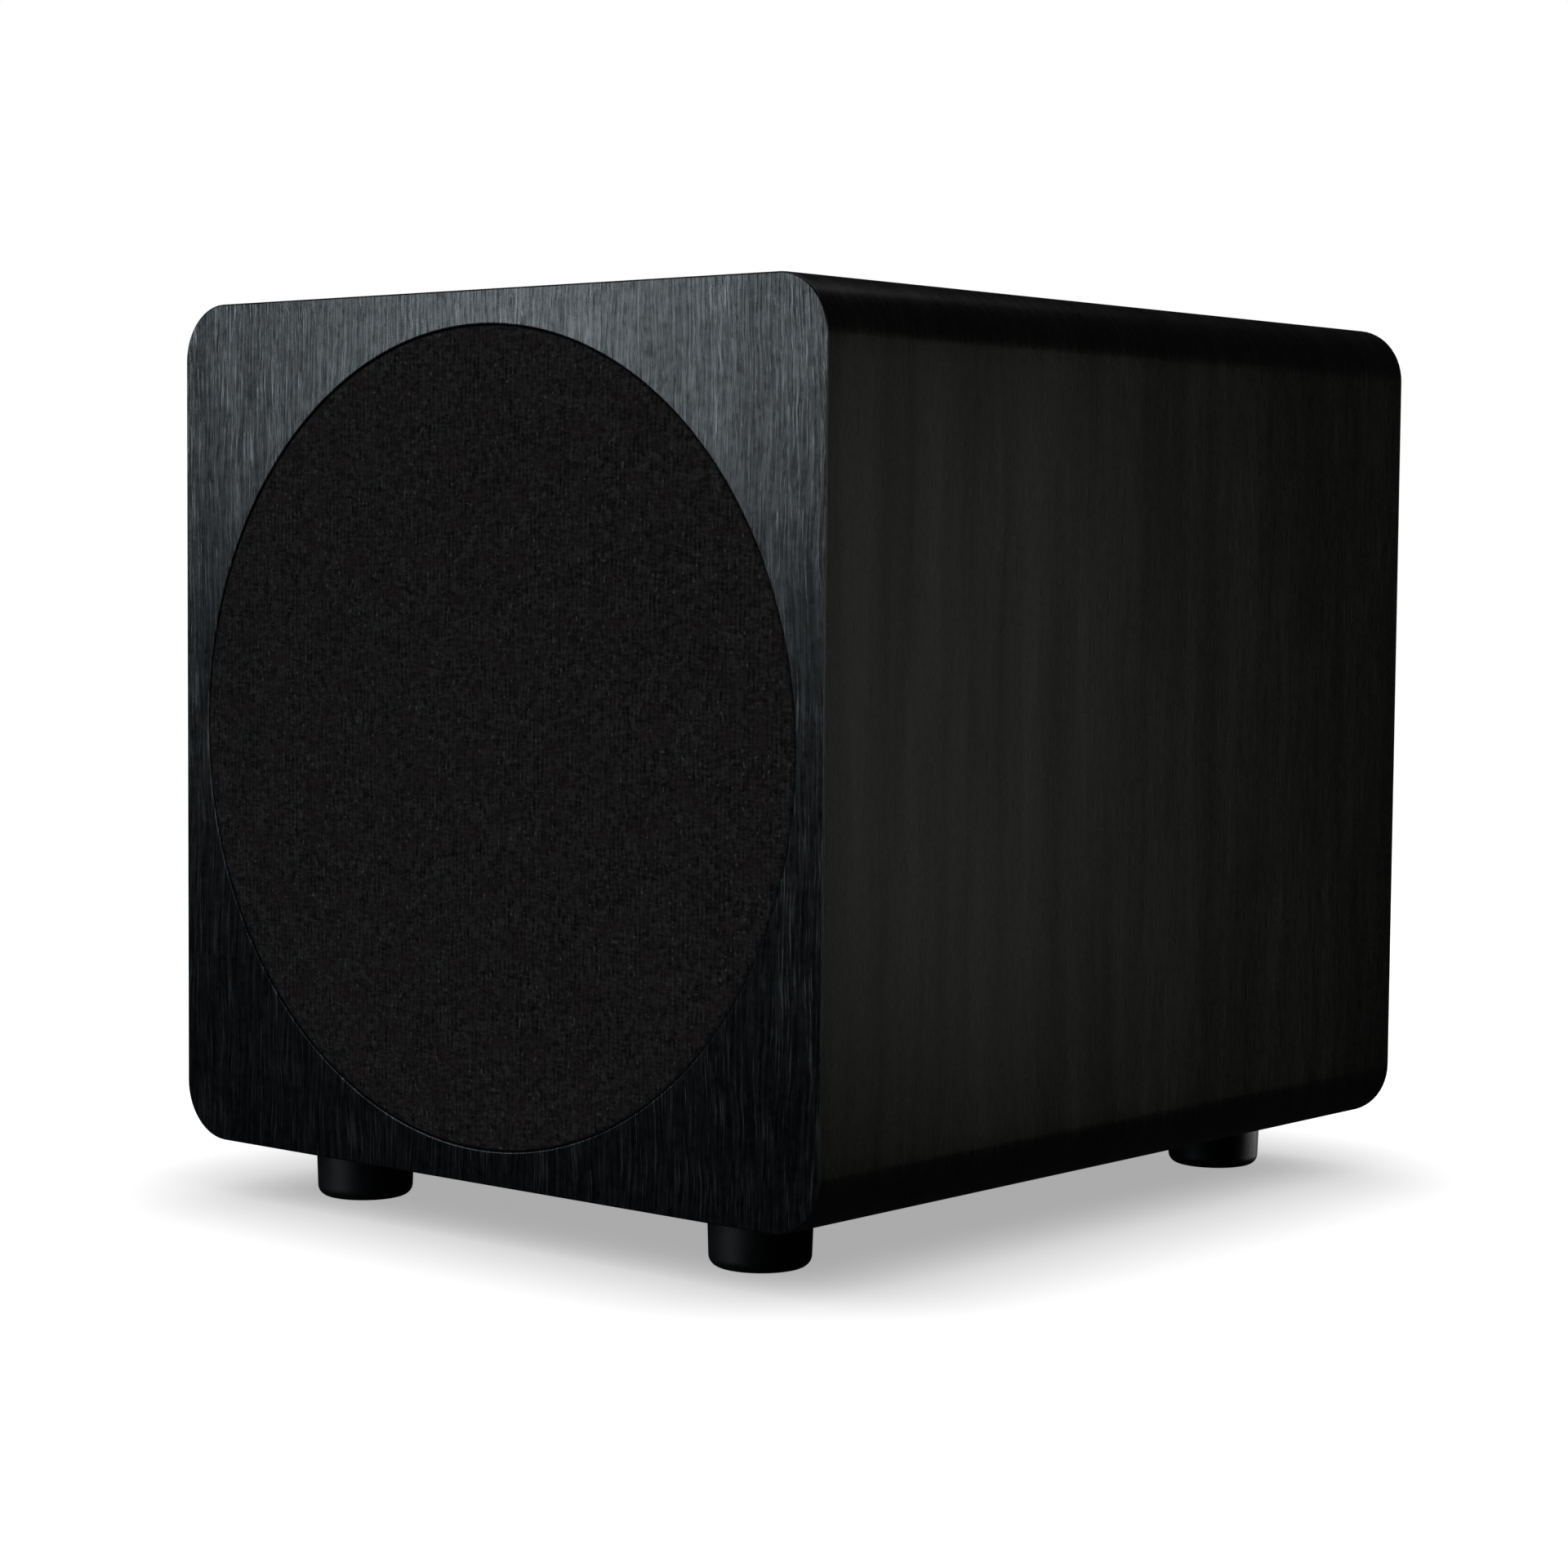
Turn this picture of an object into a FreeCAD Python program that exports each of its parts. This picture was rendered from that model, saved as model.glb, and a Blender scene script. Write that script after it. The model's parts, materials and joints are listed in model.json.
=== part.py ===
"""A powered 10 inch subwoofer, built as separate pieces and written as one STEP file for each.

The frame is millimetres, +Z up, with the front of the cabinet facing -Y. The origin is on the floor, at the
middle of the whole object's box. Most sizes along Y are given as a depth, measured backwards from the front
face of the cabinet, and at() turns a depth into Y. Most heights are given from the driver's axis, and up()
turns one into Z.
"""

import FreeCAD, Part
import math
import os

from FreeCAD import Vector

# ---- Driving dimensions -------------------------------------------------------------------------------------
CABINET_W = 330.0  # across X
CABINET_H = 330.0  # along Z, without the feet
CABINET_D = 375.0  # front face to rear face
CORNER_R = 22.0  # the four long edges
WRAP_T = 0.4  # vinyl skin
WALL_T = 15.0  # side, top and bottom panels
FRONT_T = 12.0  # outer front panel
BAFFLE_T = 22.0  # inner baffle, which carries the driver
REAR_T = 15.0

FOOT_H = 22.0
FOOT_R = 19.4  # at the top
FOOT_TAPER = 0.6  # how much smaller the radius is at the floor
FOOT_ROUND = 4.2
FOOT_INSET_X = 61.0  # foot axis to the side of the cabinet
FOOT_INSET_D = 40.0  # foot axis to the front or rear face
FOOT_HOLE_R = 6.0
FOOT_HOLE_H = 11.0

GRILLE_WELL_R = 152.0  # opening in the outer front panel
GRILLE_R = 151.2  # ring that carries the cloth
GRILLE_RING_W = 18.2
GRILLE_BACK = 11.4  # depth of the ring's rear face
GRILLE_FRONT = 0.2  # depth of the ring's front face
CLOTH_T = 0.6
MAGNET_CIRCLE_R = 141.75
MAGNET_COUNT = 6

FLANGE_R = 131.0
FLANGE_FRONT = 18.0
FLANGE_T = 4.0
GASKET_T = 1.5
REBATE_R = 131.5
BAFFLE_HOLE_R = 116.5
DRIVER_SCREW_CIRCLE_R = 124.0
DRIVER_SCREW_COUNT = 8
TRIM_T = 2.0
SURROUND_T = 0.8
CONE_R = 96.0
CONE_T = 1.5  # along the axis
FORMER_R = 25.4
SPIDER_DEPTH = 73.4
GAP_FRONT = 96.0  # depth of the top plate's front face
TOP_PLATE_T = 8.0
MAGNET_T = 20.0
BACK_PLATE_T = 8.0

AMP_W = 220.0
AMP_H = 250.0
AMP_T = 3.0
AMP_CORNER_R = 8.0
AMP_GASKET_T = 1.0
AMP_HOLE_W = 196.0
AMP_HOLE_H = 226.0
FIN_REACH = 20.0  # heat sink, from the plate's face to the fin tips

# ---- Values worked out from them ----------------------------------------------------------------------------
CLOTH_PROUD = CLOTH_T - GRILLE_FRONT
AMP_FACE = CABINET_D + AMP_GASKET_T + AMP_T  # depth of the amplifier plate's outer face
AMP_BACK = CABINET_D + AMP_GASKET_T  # depth of its inner face
REACH = AMP_FACE + FIN_REACH
FRONT_Y = -(REACH + CLOTH_PROUD) / 2 + CLOTH_PROUD
AXIS_Z = FOOT_H + CABINET_H / 2
INNER_W = CABINET_W - 2 * (WRAP_T + WALL_T)
INNER_H = CABINET_H - 2 * (WRAP_T + WALL_T)
REBATE_FLOOR = FLANGE_FRONT + FLANGE_T + GASKET_T
MAGNET_FRONT = GAP_FRONT + TOP_PLATE_T
MAGNET_BACK = MAGNET_FRONT + MAGNET_T

# ---- Places on the amplifier plate, as (x, height from the axis) ------------------------------------------
VOLUME_AT = (70.0, 8.0)
CROSSOVER_AT = (25.0, 8.0)
PHASE_AT = (-25.0, 8.0)
MODE_AT = (-60.0, 8.0)
LED_AT = (-88.0, 8.0)
JACKS_AT = [(-14.0, -28.0), (-36.0, -28.0), (-62.0, -28.0), (-84.0, -28.0)]
INLET_AT = (-45.0, -85.0)
ROCKER_AT = (-88.0, -85.0)
TRANSFORMER_AT = (50.0, -68.0)

X, Y, Z = Vector(1, 0, 0), Vector(0, 1, 0), Vector(0, 0, 1)
OUT = "parts"


def at(depth):
    """Y of a depth behind the cabinet's front face."""
    return FRONT_Y + depth


def up(height):
    """Z of a height above the driver's axis."""
    return AXIS_Z + height


# ---- Shape helpers ------------------------------------------------------------------------------------------
def block(x0, x1, depth0, depth1, height0, height1):
    """A box between two x, two depths and two heights."""
    corner = Vector(x0, at(depth0), up(height0))
    return Part.makeBox(x1 - x0, depth1 - depth0, height1 - height0, corner)


def rod(x, height, depth0, depth1, radius):
    """A cylinder along Y."""
    return Part.makeCylinder(radius, depth1 - depth0, Vector(x, at(depth0), up(height)), Y)


def tube(x, height, depth0, depth1, outer, inner):
    """A hollow cylinder along Y."""
    return rod(x, height, depth0, depth1, outer).cut(rod(x, height, depth0, depth1, inner))


def chain(points):
    """Edges through the points. A point with a third item is the middle of an arc between its neighbours."""
    edges, here, middle = [], None, None
    for point in points:
        place = Vector(point[0], point[1], 0)
        if len(point) > 2:
            middle = place
            continue
        if here is not None:
            if middle is None:
                edges.append(Part.LineSegment(here, place).toShape())
            else:
                edges.append(Part.Arc(here, middle, place).toShape())
        here, middle = place, None
    return edges


def outline(points):
    """A closed flat face in the XY plane, whose points are as chain() takes them."""
    return Part.Face(Part.Wire(chain([*points, points[0]])))


def lathe(points, turn=360.0, start=0.0):
    """Turns an outline of (radius, depth) points about the driver's axis. Angles run from +X towards +Z."""
    face = outline(points)
    solid = face.revolve(Vector(0, 0, 0), Y, -turn)
    solid.rotate(Vector(0, 0, 0), Y, -start)
    solid.translate(Vector(0, FRONT_Y, AXIS_Z))
    return solid


def ring(inner, outer, depth0, depth1):
    """A flat ring about the driver's axis."""
    return tube(0, 0, depth0, depth1, outer, inner)


def rounded_bar(width, height, radius, depth0, depth1, x=0.0, middle=0.0):
    """A rectangle with rounded corners in the XZ plane, drawn along Y."""
    bar = block(x - width / 2, x + width / 2, depth0, depth1, middle - height / 2, middle + height / 2)
    if radius <= 0:
        return bar
    long_edges = [e for e in bar.Edges if abs(e.tangentAt(e.FirstParameter).dot(Y)) > 0.99]
    return bar.makeFillet(radius, long_edges)


def around(count, radius, first=0.0):
    """Places of count things on a circle about the driver's axis, as (x, height)."""
    angles = [math.radians(first + 360.0 * i / count) for i in range(count)]
    return [(radius * math.cos(a), radius * math.sin(a)) for a in angles]


def prism(sides, across_flats, length):
    """A regular prism standing on the XY plane."""
    radius = across_flats / 2 / math.cos(math.pi / sides)
    corners = [(radius * math.cos(2 * math.pi * i / sides), radius * math.sin(2 * math.pi * i / sides))
               for i in range(sides)]
    return outline(corners).extrude(Z * length)


def screw(head_r, head_h, shank_r, length, socket):
    """A pan-head screw with a hexagonal socket. Its head stands on the XY plane and its shank runs down."""
    head = Part.makeCylinder(head_r, head_h)
    head = head.makeFillet(head_h * 0.35, [e for e in head.Edges if e.BoundBox.ZMin > head_h - 0.01])
    tip = shank_r * 1.2
    shank = Part.makeCylinder(shank_r, length - tip, Vector(0, 0, 0), -Z)
    point = Part.makeCone(shank_r, shank_r * 0.3, tip, Vector(0, 0, tip - length), -Z)
    drive = prism(6, socket, head_h)
    drive.translate(Z * head_h * 0.4)
    return head.fuse(shank).fuse(point).cut(drive).removeSplitter()


def aimed(shape, place, direction):
    """A copy of a shape that was built along +Z, moved to a place and turned to a direction."""
    moved = shape.copy()
    moved.Placement = FreeCAD.Placement(place, FreeCAD.Rotation(Z, direction))
    return moved


def fused(shapes):
    """One solid from several that touch or overlap."""
    whole = shapes[0].multiFuse(shapes[1:]) if len(shapes) > 1 else shapes[0]
    return whole.removeSplitter()


def bent_wire(points, radius):
    """A round wire along straight runs joined by tangent arcs, each as large as its two runs allow."""
    corners = [Vector(*p) for p in points]
    edges, here, radii = [], corners[0], []
    for before, corner, after in zip(corners, corners[1:], corners[2:]):
        back, ahead = (before - corner).normalize(), (after - corner).normalize()
        turn = math.pi - back.getAngle(ahead)
        reach = 0.45 * min((before - corner).Length, (after - corner).Length)
        bend = reach / math.tan(turn / 2)
        start, end = corner + back * reach, corner + ahead * reach
        inward = (back + ahead).normalize()
        middle = corner + inward * (bend / math.cos(turn / 2) - bend)
        edges += [Part.LineSegment(here, start).toShape(), Part.Arc(start, middle, end).toShape()]
        here = end
        radii.append(round(bend, 1))
    edges.append(Part.LineSegment(here, corners[-1]).toShape())
    path = Part.Wire(edges)
    first = (corners[1] - corners[0]).normalize()
    section = Part.Wire([Part.Circle(corners[0], first, radius).toShape()])
    wire = path.makePipeShell([section], True, False)
    expected = math.pi * radius**2 * path.Length
    print(f"wire: length {path.Length:.1f}, bends {radii}, volume {wire.Volume / expected:.4f} of expected")
    return wire


# ---- Cabinet ------------------------------------------------------------------------------------------------
def foot_places():
    """The feet's axes, as name and (x, y)."""
    x = CABINET_W / 2 - FOOT_INSET_X
    front, rear = at(FOOT_INSET_D), at(CABINET_D - FOOT_INSET_D)
    return {
        "front_left": (-x, front),
        "front_right": (x, front),
        "rear_left": (-x, rear),
        "rear_right": (x, rear),
    }


def vertical(place, z0, z1, radius):
    """A cylinder along Z at a foot's axis."""
    return Part.makeCylinder(radius, z1 - z0, Vector(place[0], place[1], z0))


def walls():
    """Four panels with mitred ends, rounded over together on the outside."""
    skin = WRAP_T
    outer = rounded_bar(CABINET_W - 2 * skin, CABINET_H - 2 * skin, CORNER_R - skin,
                        FRONT_T, CABINET_D - REAR_T)
    shell = outer.cut(rounded_bar(INNER_W, INNER_H, 0, FRONT_T - 1, CABINET_D))
    far = CABINET_W
    depth = CABINET_D - REAR_T - FRONT_T
    made = {}
    for name, side in (("top_wall", 0), ("left_wall", 90), ("bottom_wall", 180), ("right_wall", 270)):
        wedge = Part.Face(Part.makePolygon([Vector(0, 0, 0), Vector(far, 0, far), Vector(-far, 0, far),
                                            Vector(0, 0, 0)])).extrude(Y * depth)
        wedge.rotate(Vector(0, 0, 0), Y, -side)
        wedge.translate(Vector(0, at(FRONT_T), AXIS_Z))
        made[name] = shell.common(wedge)
    for place in foot_places().values():
        made["bottom_wall"] = made["bottom_wall"].cut(vertical(place, FOOT_H, FOOT_H + 13, 2.3))
    return made


def vinyl_wrap():
    """The black ash skin round the four long sides."""
    skin = WRAP_T
    outer = rounded_bar(CABINET_W, CABINET_H, CORNER_R, 0, CABINET_D)
    inner = rounded_bar(CABINET_W - 2 * skin, CABINET_H - 2 * skin, CORNER_R - skin, 0, CABINET_D)
    wrap = outer.cut(inner)
    for place in foot_places().values():
        wrap = wrap.cut(vertical(place, FOOT_H - 1, FOOT_H + 1, 2.6))
    return wrap


def end_panel(depth0, depth1):
    """A panel as large as the cabinet, inside the skin."""
    skin = WRAP_T
    return rounded_bar(CABINET_W - 2 * skin, CABINET_H - 2 * skin, CORNER_R - skin, depth0, depth1)


def front_panel():
    """The outer front panel, whose round opening the grille drops into."""
    eased = lathe([(0, -1), (GRILLE_WELL_R + 1.6, -1), (GRILLE_WELL_R, 0.6), (GRILLE_WELL_R, FRONT_T + 1),
                   (0, FRONT_T + 1)])
    return end_panel(0, FRONT_T).cut(eased)


def inner_baffle():
    """The thick baffle behind it, rebated for the driver's flange."""
    baffle = block(-INNER_W / 2, INNER_W / 2, FRONT_T, FRONT_T + BAFFLE_T, -INNER_H / 2, INNER_H / 2)
    baffle = baffle.cut(rod(0, 0, FRONT_T - 1, REBATE_FLOOR, REBATE_R))
    baffle = baffle.cut(rod(0, 0, FRONT_T, FRONT_T + BAFFLE_T + 1, BAFFLE_HOLE_R))
    for x, h in around(DRIVER_SCREW_COUNT, DRIVER_SCREW_CIRCLE_R, 22.5):
        baffle = baffle.cut(rod(x, h, REBATE_FLOOR, FRONT_T + BAFFLE_T - 0.5, 2.3))
    for x, h in around(MAGNET_COUNT, MAGNET_CIRCLE_R, 30):
        baffle = baffle.cut(rod(x, h, FRONT_T, FRONT_T + 3.1, 5.1))
    return baffle


def rear_panel():
    """The rear panel, cut out for the amplifier."""
    panel = end_panel(CABINET_D - REAR_T, CABINET_D)
    panel = panel.cut(rounded_bar(AMP_HOLE_W, AMP_HOLE_H, 6, CABINET_D - REAR_T - 1, CABINET_D + 1))
    for x, h in amp_screw_places():
        panel = panel.cut(rod(x, h, CABINET_D - REAR_T, CABINET_D + 1, 1.9))
    return panel


BRACE_FRONT, BRACE_T, BRACE_WINDOW = 196.0, 15.0, 210.0


def window_brace():
    """A frame across the middle of the cabinet."""
    plate = block(-INNER_W / 2, INNER_W / 2, BRACE_FRONT, BRACE_FRONT + BRACE_T, -INNER_H / 2, INNER_H / 2)
    window = rounded_bar(BRACE_WINDOW, BRACE_WINDOW, 30, BRACE_FRONT - 1, BRACE_FRONT + BRACE_T + 1)
    return plate.cut(window)


def glue_cleats():
    """Square battens in the inside corners, in front of the brace and behind it."""
    size, made = 16.0, []
    spans = [(FRONT_T + BAFFLE_T, BRACE_FRONT), (BRACE_FRONT + BRACE_T, CABINET_D - REAR_T)]
    for depth0, depth1 in spans:
        for side in (-1, 1):
            for level in (-1, 1):
                x = sorted((side * INNER_W / 2, side * (INNER_W / 2 - size)))
                h = sorted((level * INNER_H / 2, level * (INNER_H / 2 - size)))
                made.append(block(*x, depth0, depth1, *h))
    return Part.makeCompound(made)


def linings():
    """Absorbent pads on three inside faces, in front of the brace and behind it."""
    thick, gap, half = 20.0, 0.4, 126.0
    spans = [(FRONT_T + BAFFLE_T + 2, BRACE_FRONT - 2), (BRACE_FRONT + BRACE_T + 2, CABINET_D - REAR_T - 8)]
    outer = INNER_W / 2 - gap
    pads = {
        "lining_left": [block(-outer, -outer + thick, a, b, -half, half) for a, b in spans],
        "lining_right": [block(outer - thick, outer, a, b, -half, half) for a, b in spans],
        "lining_top": [block(-half, half, a, b, outer - thick, outer) for a, b in spans],
    }
    return {name: Part.makeCompound(solids) for name, solids in pads.items()}


def foot(place):
    """A moulded rubber foot: slightly tapered, rounded at the floor, with a hole for its screw."""
    low = FOOT_R - FOOT_TAPER
    corner = FOOT_ROUND * (1 - math.sqrt(0.5))
    profile = outline([(0, 0), (low - FOOT_ROUND, 0), (low - corner, corner, "arc"), (low, FOOT_ROUND),
                       (FOOT_R, FOOT_H), (0, FOOT_H)])
    body = profile.revolve(Vector(0, 0, 0), Y, 360)
    body.rotate(Vector(0, 0, 0), X, 90)
    body.translate(Vector(place[0], place[1], 0))
    body = body.cut(vertical(place, -1, FOOT_HOLE_H, FOOT_HOLE_R))
    return body.cut(vertical(place, FOOT_HOLE_H - 1, FOOT_H + 1, 2.6))


def foot_fasteners():
    """A washer and a screw in each foot."""
    one = screw(4.2, 3.0, 2.2, 24.0, 3.0)
    made = []
    for place in foot_places().values():
        washer_low = FOOT_HOLE_H - 1.2
        made.append(vertical(place, washer_low, FOOT_HOLE_H, 5.6).cut(
            vertical(place, washer_low - 1, FOOT_HOLE_H + 1, 2.5)))
        made.append(aimed(one, Vector(place[0], place[1], washer_low), -Z))
    return Part.makeCompound(made)


# ---- Driver -------------------------------------------------------------------------------------------------
SPOKES = 6
SPOKE_ANGLE = 20.0
THROAT_R = 112.0  # inside of the basket, behind the surround
THROAT_BACK = 32.5  # depth where the basket starts to narrow
LEDGE_R = 72.0  # inside of the basket, round the spider
LEDGE_FRONT = SPIDER_DEPTH + 0.8
LEDGE_T = 3.0
BASKET_T = 3.0
MOTOR_SEAT_R = 40.0  # hole in the basket's base
LIP_R = 117.3  # recess for the surround's outer lip


def driver_basket():
    """The cast frame: a flange, six spokes, a ledge for the spider and a base for the motor."""
    flange_back, base_front = FLANGE_FRONT + FLANGE_T, GAP_FRONT - 4
    lip = FLANGE_FRONT + SURROUND_T
    body = lathe([
        (FLANGE_R, FLANGE_FRONT), (FLANGE_R, flange_back), (THROAT_R + BASKET_T, flange_back),
        (THROAT_R + BASKET_T, THROAT_BACK + 1.5), (LEDGE_R + BASKET_T, LEDGE_FRONT - 2.2),
        (LEDGE_R + BASKET_T, GAP_FRONT), (MOTOR_SEAT_R, GAP_FRONT), (MOTOR_SEAT_R, base_front),
        (LEDGE_R, base_front), (LEDGE_R, LEDGE_FRONT + LEDGE_T), (LEDGE_R - 10, LEDGE_FRONT + LEDGE_T),
        (LEDGE_R - 10, LEDGE_FRONT), (LEDGE_R, LEDGE_FRONT), (LEDGE_R, LEDGE_FRONT - 3.7),
        (THROAT_R, THROAT_BACK), (THROAT_R, lip), (LIP_R, lip), (LIP_R, FLANGE_FRONT),
    ])
    pitch = 360.0 / SPOKES
    for i in range(SPOKES):
        start = 90 + pitch * i + SPOKE_ANGLE / 2
        front_window = [(LEDGE_R - 8, 38), (THROAT_R + 13, 38), (THROAT_R + 13, 66), (LEDGE_R - 8, 66)]
        rear_window = [(LEDGE_R - 2, 80), (LEDGE_R + 8, 80), (LEDGE_R + 8, 89), (LEDGE_R - 2, 89)]
        body = body.cut(lathe(front_window, pitch - SPOKE_ANGLE, start))
        body = body.cut(lathe(rear_window, pitch - SPOKE_ANGLE - 4, start + 2))
    for x, h in around(DRIVER_SCREW_COUNT, DRIVER_SCREW_CIRCLE_R, 22.5):
        body = body.cut(rod(x, h, FLANGE_FRONT - 1, flange_back + 1, 2.6))
    return body


def flange_ring(inner, outer, depth0, depth1):
    """A ring under or over the flange, pierced for the driver's screws."""
    body = ring(inner, outer, depth0, depth1)
    for x, h in around(DRIVER_SCREW_COUNT, DRIVER_SCREW_CIRCLE_R, 22.5):
        body = body.cut(rod(x, h, depth0 - 1, depth1 + 1, 2.6))
    return body


def trim_ring():
    """The moulded ring over the flange, which clamps the surround's outer lip."""
    body = flange_ring(THROAT_R, FLANGE_R, FLANGE_FRONT - TRIM_T, FLANGE_FRONT)
    front = at(FLANGE_FRONT - TRIM_T)
    rims = [e for e in body.Edges if abs(e.BoundBox.YMax - front) < 0.01 and e.BoundBox.XLength > 100]
    return body.makeChamfer(0.7, rims)


def driver_screws():
    one = screw(4.0, 2.8, 2.15, 17.0, 3.0)
    place = at(FLANGE_FRONT - TRIM_T)
    return Part.makeCompound([
        aimed(one, Vector(x, place, up(h)), -Y)
        for x, h in around(DRIVER_SCREW_COUNT, DRIVER_SCREW_CIRCLE_R, 22.5)
    ])


def cone_front(radius):
    """Depth of the cone's front surface at a radius, on the arc through its three named points."""
    (r0, d0), (r1, d1), (r2, d2) = CONE_RIM, CONE_MIDDLE, CONE_NECK
    turn = 2 * ((r1 - r0) * (d2 - d0) - (d1 - d0) * (r2 - r0))
    a, b = (r1 - r0) ** 2 + (d1 - d0) ** 2, (r2 - r0) ** 2 + (d2 - d0) ** 2
    centre_r = r0 + (a * (d2 - d0) - b * (d1 - d0)) / turn
    centre_d = d0 + (b * (r1 - r0) - a * (r2 - r0)) / turn
    bend = math.hypot(r0 - centre_r, d0 - centre_d)
    side = 1 if d1 > centre_d else -1
    return centre_d + side * math.sqrt(bend**2 - (radius - centre_r) ** 2)


CONE_TOP = FLANGE_FRONT + SURROUND_T
CONE_RIM = (91.0, CONE_TOP + 0.6)
CONE_MIDDLE = (57.0, 39.6)
CONE_NECK = (FORMER_R + 0.05, 62.0)
DUST_CAP_R = 38.0
DUST_CAP_RISE = 13.0


def cone():
    """A curved paper cone with a flat rim under the surround's inner lip."""
    t = CONE_T
    return lathe([
        (CONE_R, CONE_TOP), (CONE_R, CONE_TOP + 1.2), (CONE_RIM[0] - 1, CONE_TOP + 1.2 + t),
        (CONE_MIDDLE[0], CONE_MIDDLE[1] + t, "arc"), (CONE_NECK[0], CONE_NECK[1] + t),
        CONE_NECK, (*CONE_MIDDLE, "arc"), CONE_RIM, (CONE_RIM[0], CONE_TOP),
    ])


def dust_cap():
    """The dome glued over the cone's neck."""
    rim = cone_front(DUST_CAP_R) - 0.15
    crest = rim - DUST_CAP_RISE
    bend = (DUST_CAP_R**2 + DUST_CAP_RISE**2) / (2 * DUST_CAP_RISE)
    centre = Vector(0, at(crest + bend), AXIS_Z)
    shell = Part.makeSphere(bend, centre).cut(Part.makeSphere(bend - 0.9, centre))
    return shell.common(rod(0, 0, crest - 1, rim, DUST_CAP_R + 1))


def surround():
    """A half-roll rubber surround with a lip on each side."""
    front, t = FLANGE_FRONT, SURROUND_T
    return lathe([
        (117, front), (117, front + t), (110.6, front + t), (103.5, front + t - 7.1, "arc"),
        (CONE_R + 0.4, front + t), (CONE_RIM[0] + 0.3, front + t), (CONE_RIM[0] + 0.3, front),
        (CONE_R - 0.4, front), (103.5, front - 7.1, "arc"), (111.4, front),
    ])


def spider():
    """The corrugated disc that centres the voice coil."""
    t, inner, outer, waves, swing = 0.8, 30.0, 62.0, 4, 1.8
    pitch = (outer - inner) / (2 * waves)
    front, back = [], []
    for i in range(2 * waves):
        r = inner + pitch * i
        peak = swing if i % 2 else -swing
        front += [(r, SPIDER_DEPTH), (r + pitch / 2, SPIDER_DEPTH + peak, "arc")]
        back += [(r, SPIDER_DEPTH + t), (r + pitch / 2, SPIDER_DEPTH + peak + t, "arc")]
    front += [(outer, SPIDER_DEPTH), (69.5, SPIDER_DEPTH)]
    back += [(outer, SPIDER_DEPTH + t), (69.5, SPIDER_DEPTH + t)]
    neck = [(FORMER_R + 0.05, SPIDER_DEPTH + t), (FORMER_R + 0.05, SPIDER_DEPTH)]
    return lathe(front + back[::-1] + neck)


COIL_FRONT, COIL_BACK = 87.0, 113.0


def tinsel_leads():
    """Two braided leads that loop from the basket to the back of the cone."""
    cone_back = cone_front(50) + CONE_T
    made = []
    for x in (-8.0, 8.0):
        route = [(x, at(60), up(-82.2)), (x, at(56.5), up(-79)), (x, at(59), up(-71.5)),
                 (x, at(58.3), up(-63.5)), (x, at(54.8), up(-57.5)), (x, at(cone_back + 0.6), up(-50.6))]
        made.append(bent_wire(route, 0.6))
    return Part.makeCompound(made)


def driver_terminals(basket):
    """The terminal strip on the lowest spoke and its two tabs."""
    strip = block(-13, 13, 56, 59, -104, -86).cut(basket)
    strip = max(strip.Solids, key=lambda s: s.Volume)
    tabs = [block(x - 3.15, x + 3.15, 59, 59.8, -116, -98) for x in (-7, 7)]
    return Part.makeCompound([strip, *tabs])


# ---- Grille -------------------------------------------------------------------------------------------------
def grille_frame():
    """The ring that carries the cloth, with pockets for its magnets."""
    inner = GRILLE_R - GRILLE_RING_W
    body = lathe([
        (inner + 2, GRILLE_FRONT), (GRILLE_R - 1.5, GRILLE_FRONT), (GRILLE_R, GRILLE_FRONT + 1.5),
        (GRILLE_R, GRILLE_BACK), (inner, GRILLE_BACK), (inner, GRILLE_FRONT + 4),
    ])
    for x, h in around(MAGNET_COUNT, MAGNET_CIRCLE_R, 30):
        body = body.cut(rod(x, h, GRILLE_BACK - 2.6, GRILLE_BACK + 1, 4.1))
    return body


def grille_cloth():
    """The cloth, drawn tight over the ring's front face."""
    cloth = rod(0, 0, -CLOTH_PROUD, GRILLE_FRONT, GRILLE_R)
    return cloth.makeChamfer(0.3, [e for e in cloth.Edges if abs(e.BoundBox.YMax - at(-CLOTH_PROUD)) < 0.01])


def discs(radius, depth0, depth1):
    """Magnets on the grille's circle."""
    places = around(MAGNET_COUNT, MAGNET_CIRCLE_R, 30)
    return Part.makeCompound([rod(x, h, depth0, depth1, radius) for x, h in places])


# ---- Amplifier ----------------------------------------------------------------------------------------------
INLET_W, INLET_H, INLET_BACK = 30.0, 34.0, 352.0
SOCKET_W, SOCKET_H, SOCKET_DEPTH = 24.0, 16.4, 17.0
SOCKET_UP = 6.0  # middle of the mains socket above the middle of the inlet
DRAWER_W, DRAWER_H, DRAWER_REACH = 24.0, 8.0, 24.0
DRAWER_UP = -10.5
ROCKER_W, ROCKER_H = 18.0, 27.0
ROCKER_CAVITY_W, ROCKER_CAVITY_H, ROCKER_CAVITY_REACH = 14.6, 24.6, 15.0
ROCKER_PIVOT = AMP_FACE - 2.0
ROCKER_TILT = 9.0
SLOT_W, SLOT_H = 9.0, 4.2
KNOB_BASE = AMP_FACE + 2.6
BUSHING_R = 3.5
INPUT_BOARD_BACK = 366.0
JACK_R, JACK_HOLE_R, JACK_REACH = 4.15, 1.65, 11.0
SINK_SCREWS = [(-40.0, 46.0), (40.0, 46.0), (-40.0, 98.0), (40.0, 98.0)]


def amp_screw_places():
    x, h = 103.0, 118.0
    return [(-x, -h), (0, -h), (x, -h), (-x, 0), (x, 0), (-x, h), (0, h), (x, h)]


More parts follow.
